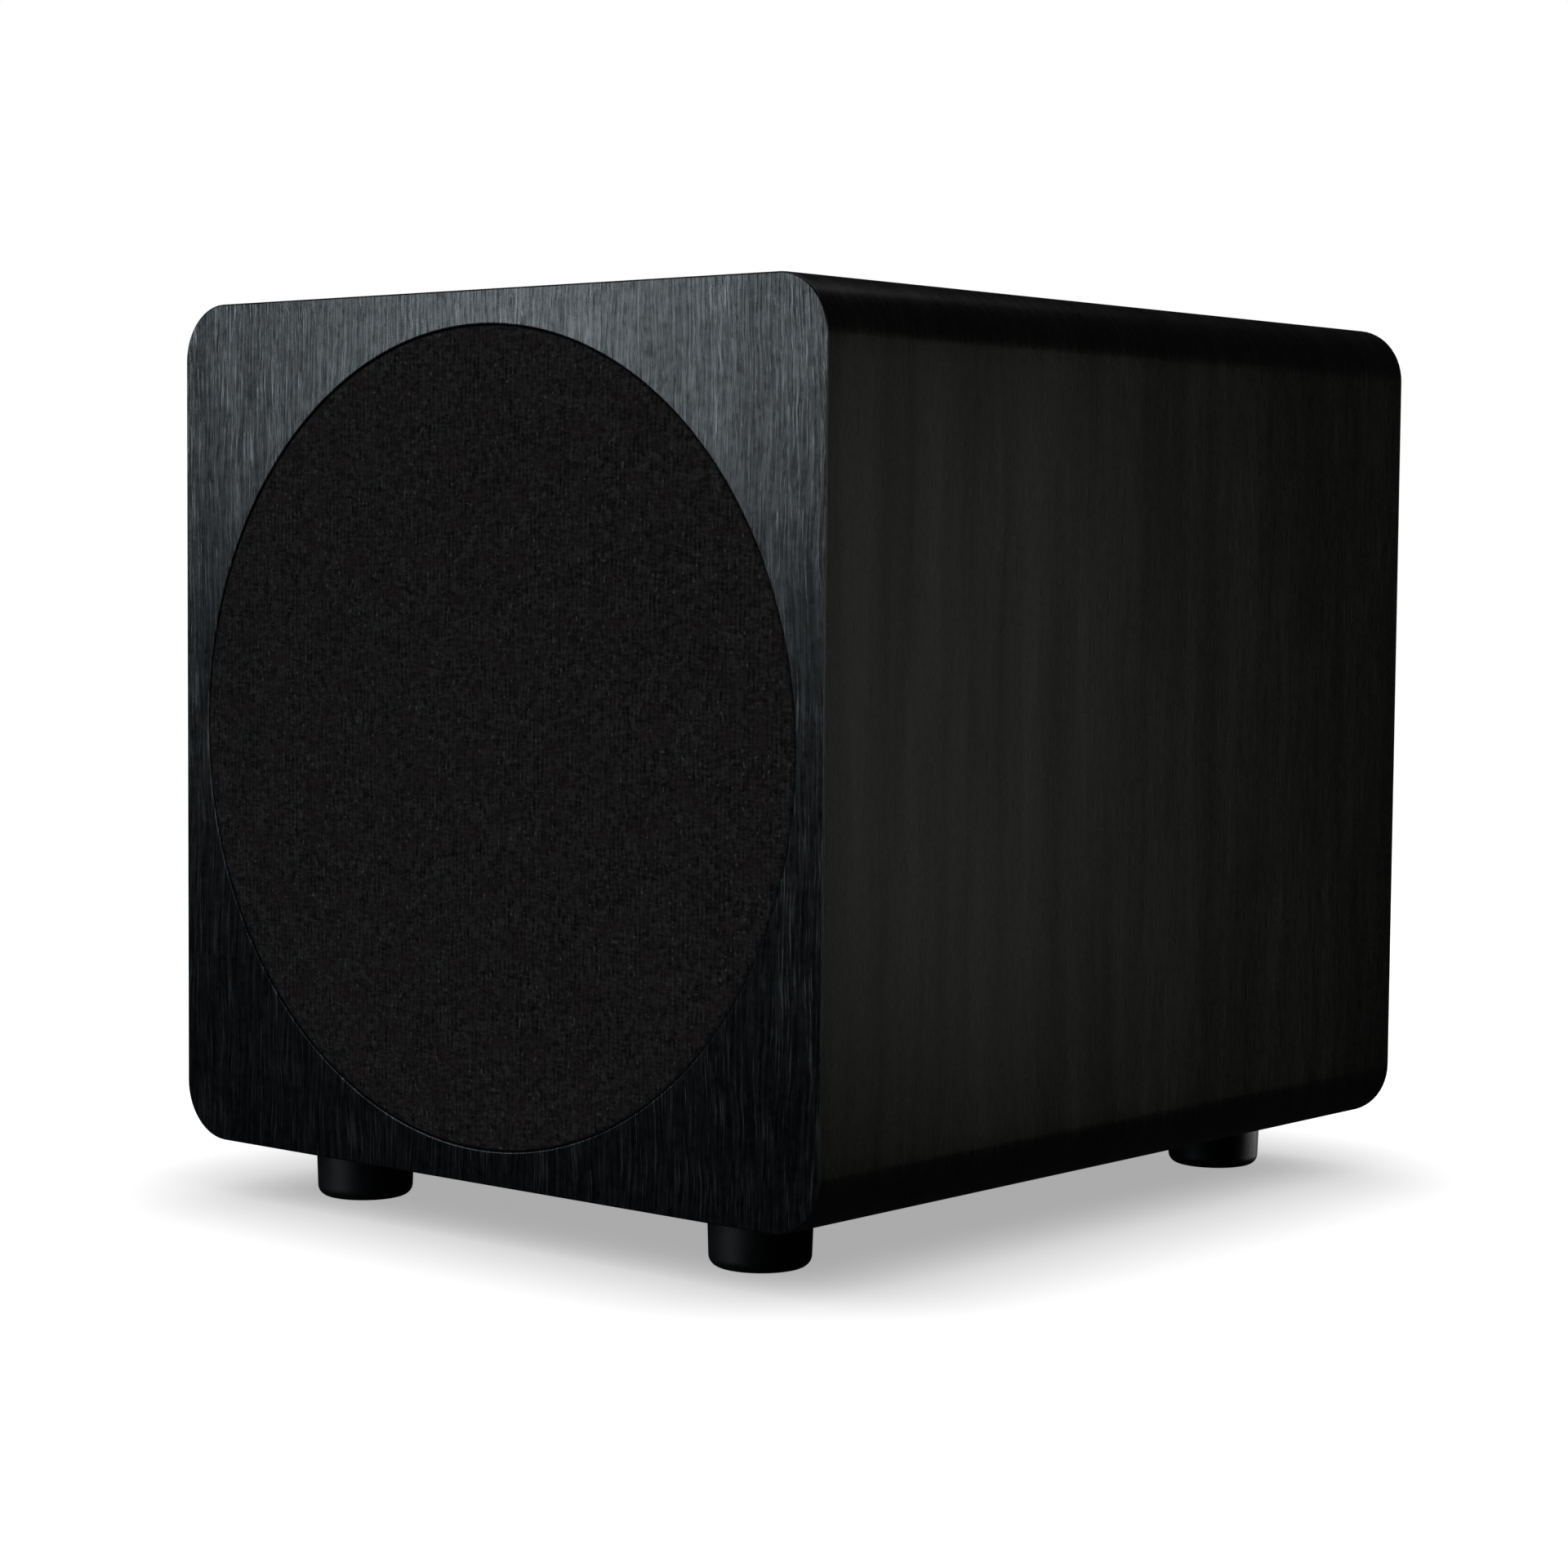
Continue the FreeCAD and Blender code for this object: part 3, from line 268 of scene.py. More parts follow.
def plain(name, tone, spread, rough, grain, relief, edge=0.0, worn=None, patch=40.0, stretch=(1, 1, 1), **sockets):
    """One hue, mottled, with a fine relief and edges that are eased and rubbed. patch and grain are texture scales:
    a thousand gives features of about a millimetre."""
    made = Finish(name, **sockets)
    place = made.place(stretch)
    cloud = made.noise(place, patch, 4.0)
    fine = made.noise(place, grain)
    dark, light = (tuple(c * share for c in tone) for share in (1 - spread, 1 + spread))
    colour = made.ramp(made.weighed(fine, 0.4, cloud, 0.6), dark, light)
    if edge:
        near_edge = made.eased(edge)
        if worn:
            colour = made.mix(made.times(near_edge, made.span(cloud, 0.4, 0.65)), colour, worn)
    made.colour(colour)
    made.rough(made.weighed(cloud, 0.5, fine, 0.5), *rough)
    made.relief(fine, relief)
    finishes[name] = made.material


def ash_grain(made, across, along, dark, light, rough, gloss, depth, banding, contrast):
    """Black ash: thin light strokes along the grain, crowded in some bands, over a mottled and flecked ground."""
    ground = made.vector(across, along)
    drift, drift_m = made.noise(ground, 9.0, 2.0), 0.012
    wave, wave_m = made.noise(ground, 38.0, 2.0), 0.0026
    bent = made.plus(across, made.weighed(drift, drift_m, wave, wave_m))

    def streaks(across_scale, along_scale, seed, detail):
        """Noise drawn out along the grain. A scale of a thousand gives streaks of about a millimetre."""
        stretched = made.vector(made.times(bent, across_scale), made.times(along, along_scale), seed)
        return made.noise(stretched, 1.0, detail)

    bands = streaks(60.0, 3.5, 7.0, 3.0)
    crowded = made.math("MULTIPLY_ADD", bands, 0.32, streaks(1150.0, 42.0, 0.0, 2.0))
    bright = made.span(crowded, 0.7, 0.86)
    fine = made.span(streaks(760.0, 26.0, 5.0, 3.0), 0.42, 0.7)
    flecks = made.span(streaks(900.0, 330.0, 3.0, 2.0), 0.36, 0.68)
    mottle = made.span(made.noise(ground, 210.0, 3.0, 0.6), 0.36, 0.64)
    ground_tone = made.weighed(flecks, 0.1, mottle, 0.13)
    lines = made.weighed(fine, 0.28, bright, contrast)
    stroke = made.plus(lines, ground_tone)
    cloud = made.span(bands, 0.35, 0.65, 1.0 - banding, 1.0 + banding)
    made.colour(made.mix(stroke, dark, light))
    made.drive("Roughness", made.span(stroke, 0.0, 1.0, *rough))
    made.drive("Specular IOR Level", made.times(made.span(stroke, 0.0, 1.0, *gloss), cloud))
    made.relief(lines, depth)


@finish("black_ash_front")
def front_ash(made):
    place = made.axes()
    ash_grain(made, place["X"], place["Z"], (0.0008, 0.0012, 0.0018), (0.03, 0.036, 0.042), (0.24, 0.31),
              (0.16, 1.75), 0.00007, 0.12, 0.68)


@finish("black_ash_wrap")
def wrap_ash(made):
    """The same grain, running round the cabinet: its UV map is in metres."""
    place = made.axes(made.node("UVMap", {}, uv_map="grain").outputs[0])
    ash_grain(made, place["Y"], place["X"], (0.007, 0.007, 0.0064), (0.02, 0.0195, 0.0185), (0.26, 0.34),
              (0.36, 0.72), 0.00002, 0.24, 0.42)


@finish("grille_cloth", Roughness=0.95, Specular_IOR_Level=0.1)
def knit(made):
    """Acoustic cloth: upright ribs of small stitches, with faint warm patches and stray bright fibres."""
    place = made.axes()
    rib_pitch, stitch_pitch = 0.0021, 0.0017
    sway_across, sway_along = 0.0016, 0.002
    yarn_scale, thread_shape = 900.0, 0.32
    frame_place = made.place()
    sway = made.noise(frame_place, 120.0, 2.0)
    across = made.math("DIVIDE", made.math("MULTIPLY_ADD", sway, sway_across, place["X"]), rib_pitch)
    rib = made.math("ABSOLUTE", made.sine(across, math.pi))
    stagger = made.times(made.math("FLOOR", across), 0.5)
    along = made.math("DIVIDE", made.math("MULTIPLY_ADD", sway, sway_along, place["Z"]), stitch_pitch)
    along = made.plus(along, stagger)
    wave = made.sine(along, FULL_TURN)
    stitches = made.times(rib, made.math("MULTIPLY_ADD", wave, 0.22, 0.78))
    upright = made.span(made.noise(made.place((1, 1, thread_shape)), yarn_scale, 2.0, 0.6), 0.34, 0.7)
    level = made.span(made.noise(made.place((thread_shape, 1, 1)), yarn_scale, 2.0, 0.6), 0.34, 0.7)
    yarn = made.weighed(made.math("MAXIMUM", upright, level), 0.6, made.times(upright, level), 0.8)
    height = made.weighed(stitches, 0.26, yarn, 0.78)
    cloud = made.noise(frame_place, 85.0, 4.0)
    fuzz = made.noise(frame_place, 2600.0, 2.0)
    tone = made.ramp(height, (0.006, 0.0058, 0.0057), (0.074, 0.07, 0.068), 0.14, 0.92)
    tone = made.mix(made.span(cloud, 0.44, 0.64, 0.0, 0.45), tone, (0.043, 0.028, 0.0285))
    speck = made.span(made.noise(made.place((1.0, 1.0, 0.6)), 800.0, 1.0), 0.68, 0.76, 0.0, 0.6)
    made.colour(made.mix(speck, tone, (0.22, 0.213, 0.205)))
    made.relief(height, 0.00018)
    made.relief(fuzz, 0.00006)


@finish("raw_mdf", Specular_IOR_Level=0.25)
def raw_board(made):
    """Raw fibreboard: short fibres and darker flecks. The edges that show in the grille's well are sprayed black."""
    fibres = made.noise(made.place((1, 1, 3.5)), 420.0, 5.0, 0.7)
    flecks = made.noise(made.place(), 1700.0, 2.0)
    cloud = made.noise(made.place(), 14.0)
    tone = made.ramp(made.weighed(cloud, 0.4, fibres, 0.6), (0.24, 0.155, 0.085), (0.42, 0.3, 0.18))
    bare = made.mix(made.span(flecks, 0.6, 0.72, 0.0, 0.6), tone, (0.13, 0.075, 0.04))
    sprayed = made.math("LESS_THAN", made.axes()["Y"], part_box("front_panel")[1].y + mm(0.5))
    made.colour(made.mix(sprayed, bare, (0.014, 0.014, 0.0145)))
    made.rough(fibres, 0.75, 0.92)
    made.relief(fibres, 0.00012)


@finish("pine", Specular_IOR_Level=0.35)
def softwood(made):
    """Pine battens: growth rings that run along the cabinet's depth."""
    place = made.place((1, 0.06, 1))
    bent = made.noise(place, 60.0)
    rings = made.node("TexWave", {"Vector": place, "Scale": 95.0, "Distortion": 5.0, "Detail": 2.0},
                      bands_direction="DIAGONAL").outputs["Fac"]
    tone = made.ramp(rings, (0.6, 0.42, 0.22), (0.34, 0.19, 0.08), 0.45, 0.95)
    made.colour(made.mix(made.span(bent, 0.35, 0.7, 0.0, 0.45), tone, (0.66, 0.5, 0.3)))
    made.rough(rings, 0.6, 0.75)
    made.relief(rings, 0.00008)


@finish("wadding", Roughness=0.95, Sheen_Weight=0.25, Specular_IOR_Level=0.15)
def wadding(made):
    """Polyester wadding: tangled fibres over soft tufts."""
    place = made.place()
    tufts = made.noise(place, 90.0, 4.0, 0.6)
    shift = made.node("VectorMath", {0: made.noise(place, 240.0).outputs["Color"], "Scale": 0.006},
                      operation="SCALE")
    bent = made.node("VectorMath", {0: place, 1: shift}, operation="ADD")
    fibres = made.noise(bent, 900.0, 4.0, 0.75)
    made.colour(made.ramp(made.weighed(fibres, 0.5, tufts, 0.5),
                          (0.36, 0.37, 0.36), (0.72, 0.73, 0.71), 0.36, 0.62))
    made.relief(tufts, 0.0015)
    made.relief(fibres, 0.0006)


@finish("cone_paper", (0.012, 0.012, 0.0125), (0.04, 0.04, 0.041), Specular_IOR_Level=0.3)
@finish("dust_cap", (0.01, 0.01, 0.0105), (0.032, 0.032, 0.033), Specular_IOR_Level=0.3)
def pulp(made, dark, light):
    """Pressed paper pulp, with long fibres."""
    place = made.place()
    curl = made.noise(place, 70.0, 2.0)
    fibres = made.node("TexWave", {"Vector": place, "Scale": 230.0, "Distortion": 34.0, "Detail": 5.0,
                                   "Detail Scale": 2.2, "Detail Roughness": 0.75}).outputs["Fac"]
    tone = made.ramp(fibres, dark, light, 0.25, 0.95)
    made.colour(made.mix(made.span(curl, 0.35, 0.7, 0.0, 0.3), tone, light))
    made.rough(fibres, 0.62, 0.82)
    made.relief(fibres, 0.00016)


@finish("spider_cloth", Specular_IOR_Level=0.3)
def weave(made):
    """A plain weave seen along the driver's axis."""
    pitch = 0.0008
    place = made.axes()
    turns = math.pi / pitch
    warp = made.sine(place["X"], turns)
    weft = made.sine(place["Z"], turns)
    height = made.math("MULTIPLY_ADD", made.times(warp, weft), 0.5, 0.5)
    stain = made.noise(made.place(), 45.0, 4.0)
    made.colour(made.ramp(made.weighed(stain, 0.5, height, 0.5), (0.34, 0.17, 0.05), (0.62, 0.37, 0.13), 0.25, 0.75))
    made.rough(stain, 0.7, 0.85)
    made.relief(height, 0.00012)


@finish("coil_copper", Metallic=1.0, Coat_Weight=0.5, Coat_Roughness=0.15)
def winding(made):
    """Enamelled copper wire, turn beside turn."""
    turn_pitch = 0.00035
    turns = made.sine(made.axes()["Y"], FULL_TURN / turn_pitch)
    cloud = made.noise(made.place(), 220.0)
    tone = made.ramp(turns, (0.3, 0.11, 0.04), (0.83, 0.4, 0.19), 0.0, 0.9)
    made.colour(made.mix(made.span(cloud, 0.4, 0.7, 0.0, 0.3), tone, (0.42, 0.16, 0.06)))
    made.rough(cloud, 0.22, 0.36)
    made.relief(turns, 0.00008)


@finish("transformer_tape", Coat_Weight=0.3, Coat_Roughness=0.2)
def tape_wrap(made):
    """The transformer's polyester tape, wound through its middle in overlapping turns."""
    x, height = 50.0, -68.0
    place = made.axes()
    angle = made.math("ARCTAN2", made.math("SUBTRACT", place["Z"], up(height)),
                      made.math("SUBTRACT", place["X"], mm(x)))
    wobble = made.noise(made.place(), 60.0)
    overlaps = 22
    turn = made.math("FRACT", made.math("MULTIPLY_ADD", angle, overlaps / FULL_TURN,
                                        made.times(wobble, 0.25)))
    tone = made.ramp(turn, (0.62, 0.48, 0.13), (0.8, 0.66, 0.26), 0.0, 0.8)
    made.colour(made.mix(made.span(turn, 0.9, 0.98), tone, (0.36, 0.24, 0.05)))
    made.rough(wobble, 0.28, 0.42)
    made.relief(turn, 0.00025)


@finish("circuit_board", Coat_Weight=0.25, Coat_Roughness=0.25)
def board_green(made):
    """Solder mask over tracks, with tinned pads."""
    place = made.axes()
    flat = made.vector(place["X"], place["Z"])
    tracks = made.node("TexBrick", {"Vector": flat, "Scale": 105.0, "Mortar Size": 0.045, "Mortar Smooth": 0.1,
                                    "Color1": (0, 0, 0, 1), "Color2": (0.25, 0.25, 0.25, 1), "Mortar": (1, 1, 1, 1)},
                       offset=0.35, squash=1.6)
    copper = made.noise(flat, 26.0, 1.0)
    ground = made.ramp(copper, (0.006, 0.055, 0.026), (0.013, 0.1, 0.045), 0.47, 0.53)
    lines = made.mix(tracks, ground, (0.02, 0.15, 0.065))
    pads = made.span(made.cells(flat, 190.0), 0.16, 0.13)
    made.colour(made.mix(pads, lines, (0.6, 0.58, 0.52)))
    made.drive("Metallic", made.times(pads, 0.9))
    made.rough(copper, 0.25, 0.4)
    made.relief(tracks.outputs["Color"], 0.00004)


@finish("component_black")
def board_parts(made):
    """Capacitor sleeves and tops, copper coils, film capacitors and transistors, told apart by their places."""
    place = made.axes()
    body = made.noise(made.place(), 300.0)
    sleeve = made.ramp(body, (0.012, 0.014, 0.028), (0.02, 0.023, 0.045))
    high = made.math("GREATER_THAN", place["Z"], up(68))
    can_top = made.math("LESS_THAN", place["Y"], at(330.6))
    chip = made.math("GREATER_THAN", place["Y"], at(370))
    side = made.math("ABSOLUTE", place["X"])
    coil = made.math("COMPARE", side, mm(34), mm(9.5))
    turns = made.sine(place["Y"], FULL_TURN / 0.0011)
    copper = made.ramp(turns, (0.3, 0.11, 0.04), (0.75, 0.36, 0.16), 0.0, 0.8)
    film = made.ramp(body, (0.5, 0.3, 0.035), (0.62, 0.4, 0.06))
    low_parts = made.mix(coil, film, copper)
    tone = made.mix(high, low_parts, sleeve)
    tone = made.mix(can_top, tone, (0.62, 0.62, 0.61))
    made.colour(made.mix(chip, tone, made.ramp(body, (0.011, 0.011, 0.012), (0.02, 0.02, 0.021))))
    bare = made.math("MAXIMUM", can_top, made.times(coil, made.math("SUBTRACT", 1.0, high)))
    made.drive("Metallic", made.times(bare, 0.9))
    made.rough(body, 0.3, 0.45)
    made.relief(body, 0.00003)


@finish("lead_sleeve", Coat_Weight=0.2, Coat_Roughness=0.3)
def two_leads(made):
    """PVC sleeves: red on the right lead and black on the left."""
    cloud = made.noise(made.place(), 500.0)
    red = made.ramp(cloud, (0.4, 0.012, 0.01), (0.52, 0.02, 0.016))
    black = made.ramp(cloud, (0.012, 0.012, 0.012), (0.02, 0.02, 0.02))
    made.colour(made.mix(made.math("GREATER_THAN", made.axes()["X"], 0.0), black, red))
    made.rough(cloud, 0.35, 0.5)
    made.relief(cloud, 0.00003)


@finish("tinsel_braid", Metallic=0.85)
def braid(made):
    """Tinsel: silvery strands laid round a lead."""
    place = made.axes()
    pitch = FULL_TURN / 0.0009
    twist = made.sine(made.plus(place["Z"], place["X"]), pitch)
    other = made.sine(made.math("SUBTRACT", place["Z"], place["Y"]), pitch)
    height = made.times(twist, other)
    made.colour(made.ramp(height, (0.34, 0.27, 0.2), (0.76, 0.7, 0.62), 0.0, 0.7))
    made.rough(made.noise(made.place(), 900.0), 0.3, 0.45)
    made.relief(height, 0.0001)


EDGE_GREY = (0.09, 0.09, 0.092)
PLAIN_FINISHES = {
    # slot: tone, spread, roughness range, grain's scale, relief's depth, edges' radius and tone, other settings
    "black_mdf": ((0.014, 0.014, 0.0145), 0.3, (0.5, 0.66), 900, 0.00005, 0.0006, (0.06, 0.045, 0.03), {}),
    "foot_rubber": ((0.008, 0.0085, 0.0088), 0.4, (0.4, 0.56), 900, 0.00003, {}),
    "moulded_black": ((0.016, 0.016, 0.0165), 0.2, (0.42, 0.56), 2600, 0.00002, 0.0004, {}),
    "nickel_magnet": ((0.6, 0.59, 0.56), 0.12, (0.14, 0.3), 700, 0.00001, 0.0004, dict(Metallic=1)),
    "cast_alloy": ((0.024, 0.024, 0.026), 0.25, (0.36, 0.5), 1100, 0.00005, 0.0007, EDGE_GREY, {}),
    "zinc_steel": ((0.5, 0.5, 0.46), 0.2, (0.24, 0.42), 420, 0.00002, 0.0006, (0.7, 0.7, 0.68),
                   dict(patch=90, Metallic=1)),
    "ferrite": ((0.07, 0.07, 0.075), 0.35, (0.5, 0.72), 1300, 0.00007, 0.0006, (0.16, 0.16, 0.165), {}),
    "gasket_foam": ((0.02, 0.02, 0.021), 0.5, (0.8, 0.95), 1900, 0.0002, {}),
    "black_screw": ((0.045, 0.045, 0.047), 0.3, (0.28, 0.42), 900, 0.00001, 0.0003, (0.2, 0.2, 0.2),
                    dict(Metallic=0.7)),
    "tinned_tabs": ((0.66, 0.65, 0.61), 0.15, (0.25, 0.42), 500, 0.00002, dict(Metallic=1)),
    "former_alloy": ((0.62, 0.62, 0.6), 0.15, (0.25, 0.38), 60, 0.00001, dict(stretch=(1, 40, 1), Metallic=1)),
    "surround_rubber": ((0.012, 0.012, 0.0125), 0.25, (0.4, 0.55), 1800, 0.00002, {}),
    "amp_black": ((0.02, 0.02, 0.0215), 0.25, (0.4, 0.54), 1250, 0.000045, 0.0005, EDGE_GREY, {}),
    "sink_black": ((0.022, 0.022, 0.024), 0.35, (0.3, 0.44), 1500, 0.00002, 0.0003, (0.14, 0.14, 0.145),
                   dict(patch=60, stretch=(1, 1, 0.02), Metallic=0.4)),
    "pot_metal": ((0.55, 0.55, 0.52), 0.15, (0.25, 0.4), 700, 0.00002, 0.0003, dict(Metallic=1)),
    "knob_black": ((0.016, 0.016, 0.0168), 0.2, (0.36, 0.48), 2400, 0.00002, 0.0004, (0.04, 0.04, 0.041), {}),
    "slider_black": ((0.018, 0.018, 0.0185), 0.2, (0.4, 0.52), 2400, 0.00002, 0.0002, {}),
    "socket_black": ((0.015, 0.015, 0.0155), 0.2, (0.34, 0.48), 2400, 0.000015, 0.0004, {}),
    "rocker_black": ((0.013, 0.013, 0.0133), 0.2, (0.2, 0.3), 2000, 0.00001, 0.0004, {}),
    "jack_nickel": ((0.7, 0.69, 0.65), 0.1, (0.12, 0.26), 700, 0.00001, 0.0002, dict(Metallic=1)),
    "led_lens": ((0.5, 0.62, 0.72), 0.12, (0.18, 0.28), 900, 0.00001, dict(Transmission_Weight=0.5, IOR=1.49)),
    "print_pale": ((0.5, 0.5, 0.49), 0.15, (0.55, 0.7), 2200, 0.00001, {}),
    "jack_core_red": ((0.46, 0.016, 0.014), 0.15, (0.3, 0.42), 1500, 0.00001, {}),
    "jack_core_white": ((0.68, 0.68, 0.65), 0.08, (0.3, 0.42), 1500, 0.00001, {}),
}
for slot, (*numbers, settings) in PLAIN_FINISHES.items():
    plain(slot, *numbers, **settings)
for node in nodes.values():
    for held in node.material_slots:
        held.material = finishes[held.material.name.split(".")[0]]


# ---- Mesh pieces ----
def put(name, data):
    """A new object in the scene."""
    made = bpy.data.objects.new(name, data)
    bpy.context.scene.collection.objects.link(made)
    return made


def mesh_of(work, name):
    """A BMesh's mesh. The BMesh is freed."""
    mesh = bpy.data.meshes.new(name)
    work.to_mesh(mesh)
    work.free()
    return mesh


def circle_rail(centre, count, axis=Y):
    """A closed rail: the centre each time, and a direction away from it."""
    first, second = (X, Z) if axis == Y else (X, Y)
    angles = [FULL_TURN * i / count for i in range(count)]
    return [(centre, first * math.cos(a) + second * math.sin(a)) for a in angles]


def box_rail(radius, straight, turn):
    """The cabinet's rounded outline, from the middle of its lower side: points, and directions away. straight and
    turn are the steps along a side and round a corner."""
    half = (CABINET_HIGH - CABINET_LOW) / 2
    corners = [(1, -1, -90), (1, 1, 0), (-1, 1, 90), (-1, -1, 180)]
    rail = []
    for side_x, side_z, first in corners:
        pivot = AXIS + Vector((side_x * (half.x - radius), 0, side_z * (half.z - radius)))
        for i in range(turn + 1):
            angle = math.radians(first + 90 * i / turn)
            away = Vector((math.cos(angle), 0, math.sin(angle)))
            rail.append((pivot + away * radius, away))
    filled = []
    for i, (point, away) in enumerate(rail):
        after, after_away = rail[(i + 1) % len(rail)]
        filled.append((point, away))
        if (after_away - away).length < 1e-6:
            filled += [(point.lerp(after, k / straight), away) for k in range(1, straight)]
    first = min(range(len(filled)), key=lambda i: (filled[i][0].z, abs(filled[i][0].x - AXIS.x)))
    return filled[first:] + filled[:first]


def arc(start, middle, end, steps):
    """Points of the arc through three points, without its last one."""
    (ax, ay), (bx, by), (cx, cy) = start, middle, end
    d = 2 * (ax * (by - cy) + bx * (cy - ay) + cx * (ay - by))
    a2, b2, c2 = ax * ax + ay * ay, bx * bx + by * by, cx * cx + cy * cy
    ux = (a2 * (by - cy) + b2 * (cy - ay) + c2 * (ay - by)) / d
    uy = (a2 * (cx - bx) + b2 * (ax - cx) + c2 * (bx - ax)) / d
    radius = math.hypot(ax - ux, ay - uy)
    first, mid, last = (math.atan2(py - uy, px - ux) for px, py in (start, middle, end))
    sweep = (last - first) % FULL_TURN
    if (mid - first) % FULL_TURN > sweep:
        sweep -= FULL_TURN
    angles = [first + sweep * i / steps for i in range(steps)]
    return [(ux + radius * math.cos(a), uy + radius * math.sin(a)) for a in angles]


def quarter(centre, radius, first, steps=6, turn=90):
    """Points of a rounded corner, both ends included. first is in degrees."""
    angles = [math.radians(first + turn * i / steps) for i in range(steps + 1)]
    return [(centre[0] + radius * math.cos(a), centre[1] + radius * math.sin(a)) for a in angles]


def loft(name, points, rows):
    """A closed mesh of points in closed rings of that many rows. Each ring joins the next, and the last the first."""
    count = len(points) // rows
    faces = []
    for i in range(count):
        here, there = i * rows, (i + 1) % count * rows
        for j in range(rows):
            k = (j + 1) % rows
            faces.append((here + j, there + j, there + k, here + k))
    mesh = bpy.data.meshes.new(name)
    mesh.from_pydata(points, [], faces)
    return mesh


def sweep(name, rail, profile, axis=Y, merge=True):
    """A closed mesh: the closed profile of (away, along) millimetres, carried round a closed rail."""
    points = [base + away * mm(out) + axis * mm(along) for base, away in rail for out, along in profile]
    return tidy(loft(name, points, len(profile)), merge)


def tidy(mesh, merge=True):
    """Merges points that coincide, and faces the surface outwards."""
    work = bmesh.new()
    work.from_mesh(mesh)
    if merge:
        bmesh.ops.remove_doubles(work, verts=work.verts, dist=1e-7)
    bmesh.ops.recalc_face_normals(work, faces=work.faces)
    work.to_mesh(mesh)
    work.free()
    return mesh


def piece(name, mesh, body, slot, angle=35.0, weighted=False, material=None):
    """A piece of the object, in its slot's finish unless another is given. Edges sharper than the angle stay."""
    made = put(name, mesh)
    mesh.materials.append(material or finishes[slot])
    mesh.shade_smooth()
    mesh.set_sharp_from_angle(angle=math.radians(angle))
    if weighted:
        made.modifiers.new("even_normals", "WEIGHTED_NORMAL").keep_sharp = True
    if body:
        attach(made, body)
    return made


def joined(name, meshes):
    """Several meshes as one."""
    work = bmesh.new()
    for mesh in meshes:
        work.from_mesh(mesh)
        bpy.data.meshes.remove(mesh)
    return mesh_of(work, name)


# ---- Cabinet ----
WRAP_T_MM = 0.4
EASE_MM = 0.7  # radius of the cabinet's front and rear edges
CORNER_MM = 22.0
WELL_R_MM = 152.0
RIM_MM = 0.7  # radius of the well's front edge
DEPTH_MM = depth_of(CABINET_HIGH.y)
cabinet_rail = box_rail(mm(CORNER_MM), 40, 14)
split_angle = math.asin((EASE_MM - WRAP_T_MM) / EASE_MM)  # where the eased edge passes from panel to wrap


def eased_edge(first, last, steps):
    """(inset, depth) pairs down the eased edge, between two angles from the panel's face."""
    angles = [first + (last - first) * i / steps for i in range(steps + 1)]
    return [(EASE_MM - EASE_MM * math.sin(a), EASE_MM - EASE_MM * math.cos(a)) for a in angles]


def build_front_panel():
    """The front, with its round well. Each point of the rail has a partner on the well's circle."""
    thick = depth_of(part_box("front_panel")[1].y)
    well = [(WELL_R_MM, thick), (WELL_R_MM, RIM_MM)]
    well += [(WELL_R_MM + RIM_MM - x, y) for x, y in quarter((0, RIM_MM), RIM_MM, 0, 5, -90)][1:]
    well.append((WELL_R_MM + RIM_MM + 0.5, 0))
    edge = [(2.2, 0)] + eased_edge(0, split_angle, 3) + [(WRAP_T_MM, thick)]
    points = []
    for base, away in cabinet_rail:
        ray = (base - AXIS).normalized()
        points += [AXIS + ray * mm(r) + Y * at(d) for r, d in well]
        points += [base - away * mm(inset) + Y * at(d) for inset, d in edge]
    mesh = tidy(loft("front_panel_ash", points, len(well) + len(edge)))
    made = piece("front_panel_ash", mesh, "root", "black_ash_front", 40.0, True)
    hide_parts("front_panel")


def build_wrap():
    """The skin round the four long sides. Its grain runs round the cabinet."""
    edge = eased_edge(split_angle, math.pi / 2, 4)
    outer = [(-inset, d) for inset, d in edge] + [(0, 2.0), (0, DEPTH_MM - 2.0)]
    outer += [(-inset, DEPTH_MM - d) for inset, d in reversed(edge)]
    inner = [(-WRAP_T_MM, DEPTH_MM - 1.0), (-WRAP_T_MM, 1.0)]
    profile = outer + inner
    rail = [(base + Y * CABINET_LOW.y, away) for base, away in cabinet_rail]
    mesh = sweep("vinyl_wrap_skin", rail, profile, merge=False)
    lengths = [0.0]
    for i, (base, away) in enumerate(rail):
        lengths.append(lengths[-1] + (rail[(i + 1) % len(rail)][0] - base).length)
    grain = mesh.uv_layers.new(name="grain")
    rows = len(profile)
    for face in mesh.polygons:
        first = face.index // rows
        for loop in face.loop_indices:
            vertex = mesh.loops[loop].vertex_index
            step = vertex // rows
            along = lengths[first + 1] if step != first else lengths[first]
            grain.data[loop].uv = (along, mm(profile[vertex % rows][1]))
    made = piece("vinyl_wrap_skin", mesh, "root", "black_ash_wrap", 40.0, True)
    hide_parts("vinyl_wrap")


def build_feet():
    """Moulded rubber feet: tapered, rounded at the floor, with a lip under the cabinet."""
    for side in ("front_left", "front_right", "rear_left", "rear_right"):
        low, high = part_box("foot_" + side)
        centre = (low + high) / 2
        centre.z = 0
        radius = in_mm((high.x - low.x) / 2)
        height = in_mm(high.z - low.z)
        at_floor = radius - 0.6
        profile = [(6.0, 0.3), (6.3, 0.0)]
        profile += quarter((at_floor - 4.2, 4.2), 4.2, -90, 9)
        profile += [(radius - 0.02, height - 0.7)] + quarter((radius - 0.5, height - 0.5), 0.5, 0, 3)
        profile += [(2.6, height), (2.6, 11.0), (6.0, 11.0)]
        mesh = sweep("foot", circle_rail(centre, 128, Z), profile, Z)
        name = "rubber_foot_" + side
        made = piece(name, mesh, "root", "foot_rubber")
        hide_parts("foot_" + side)


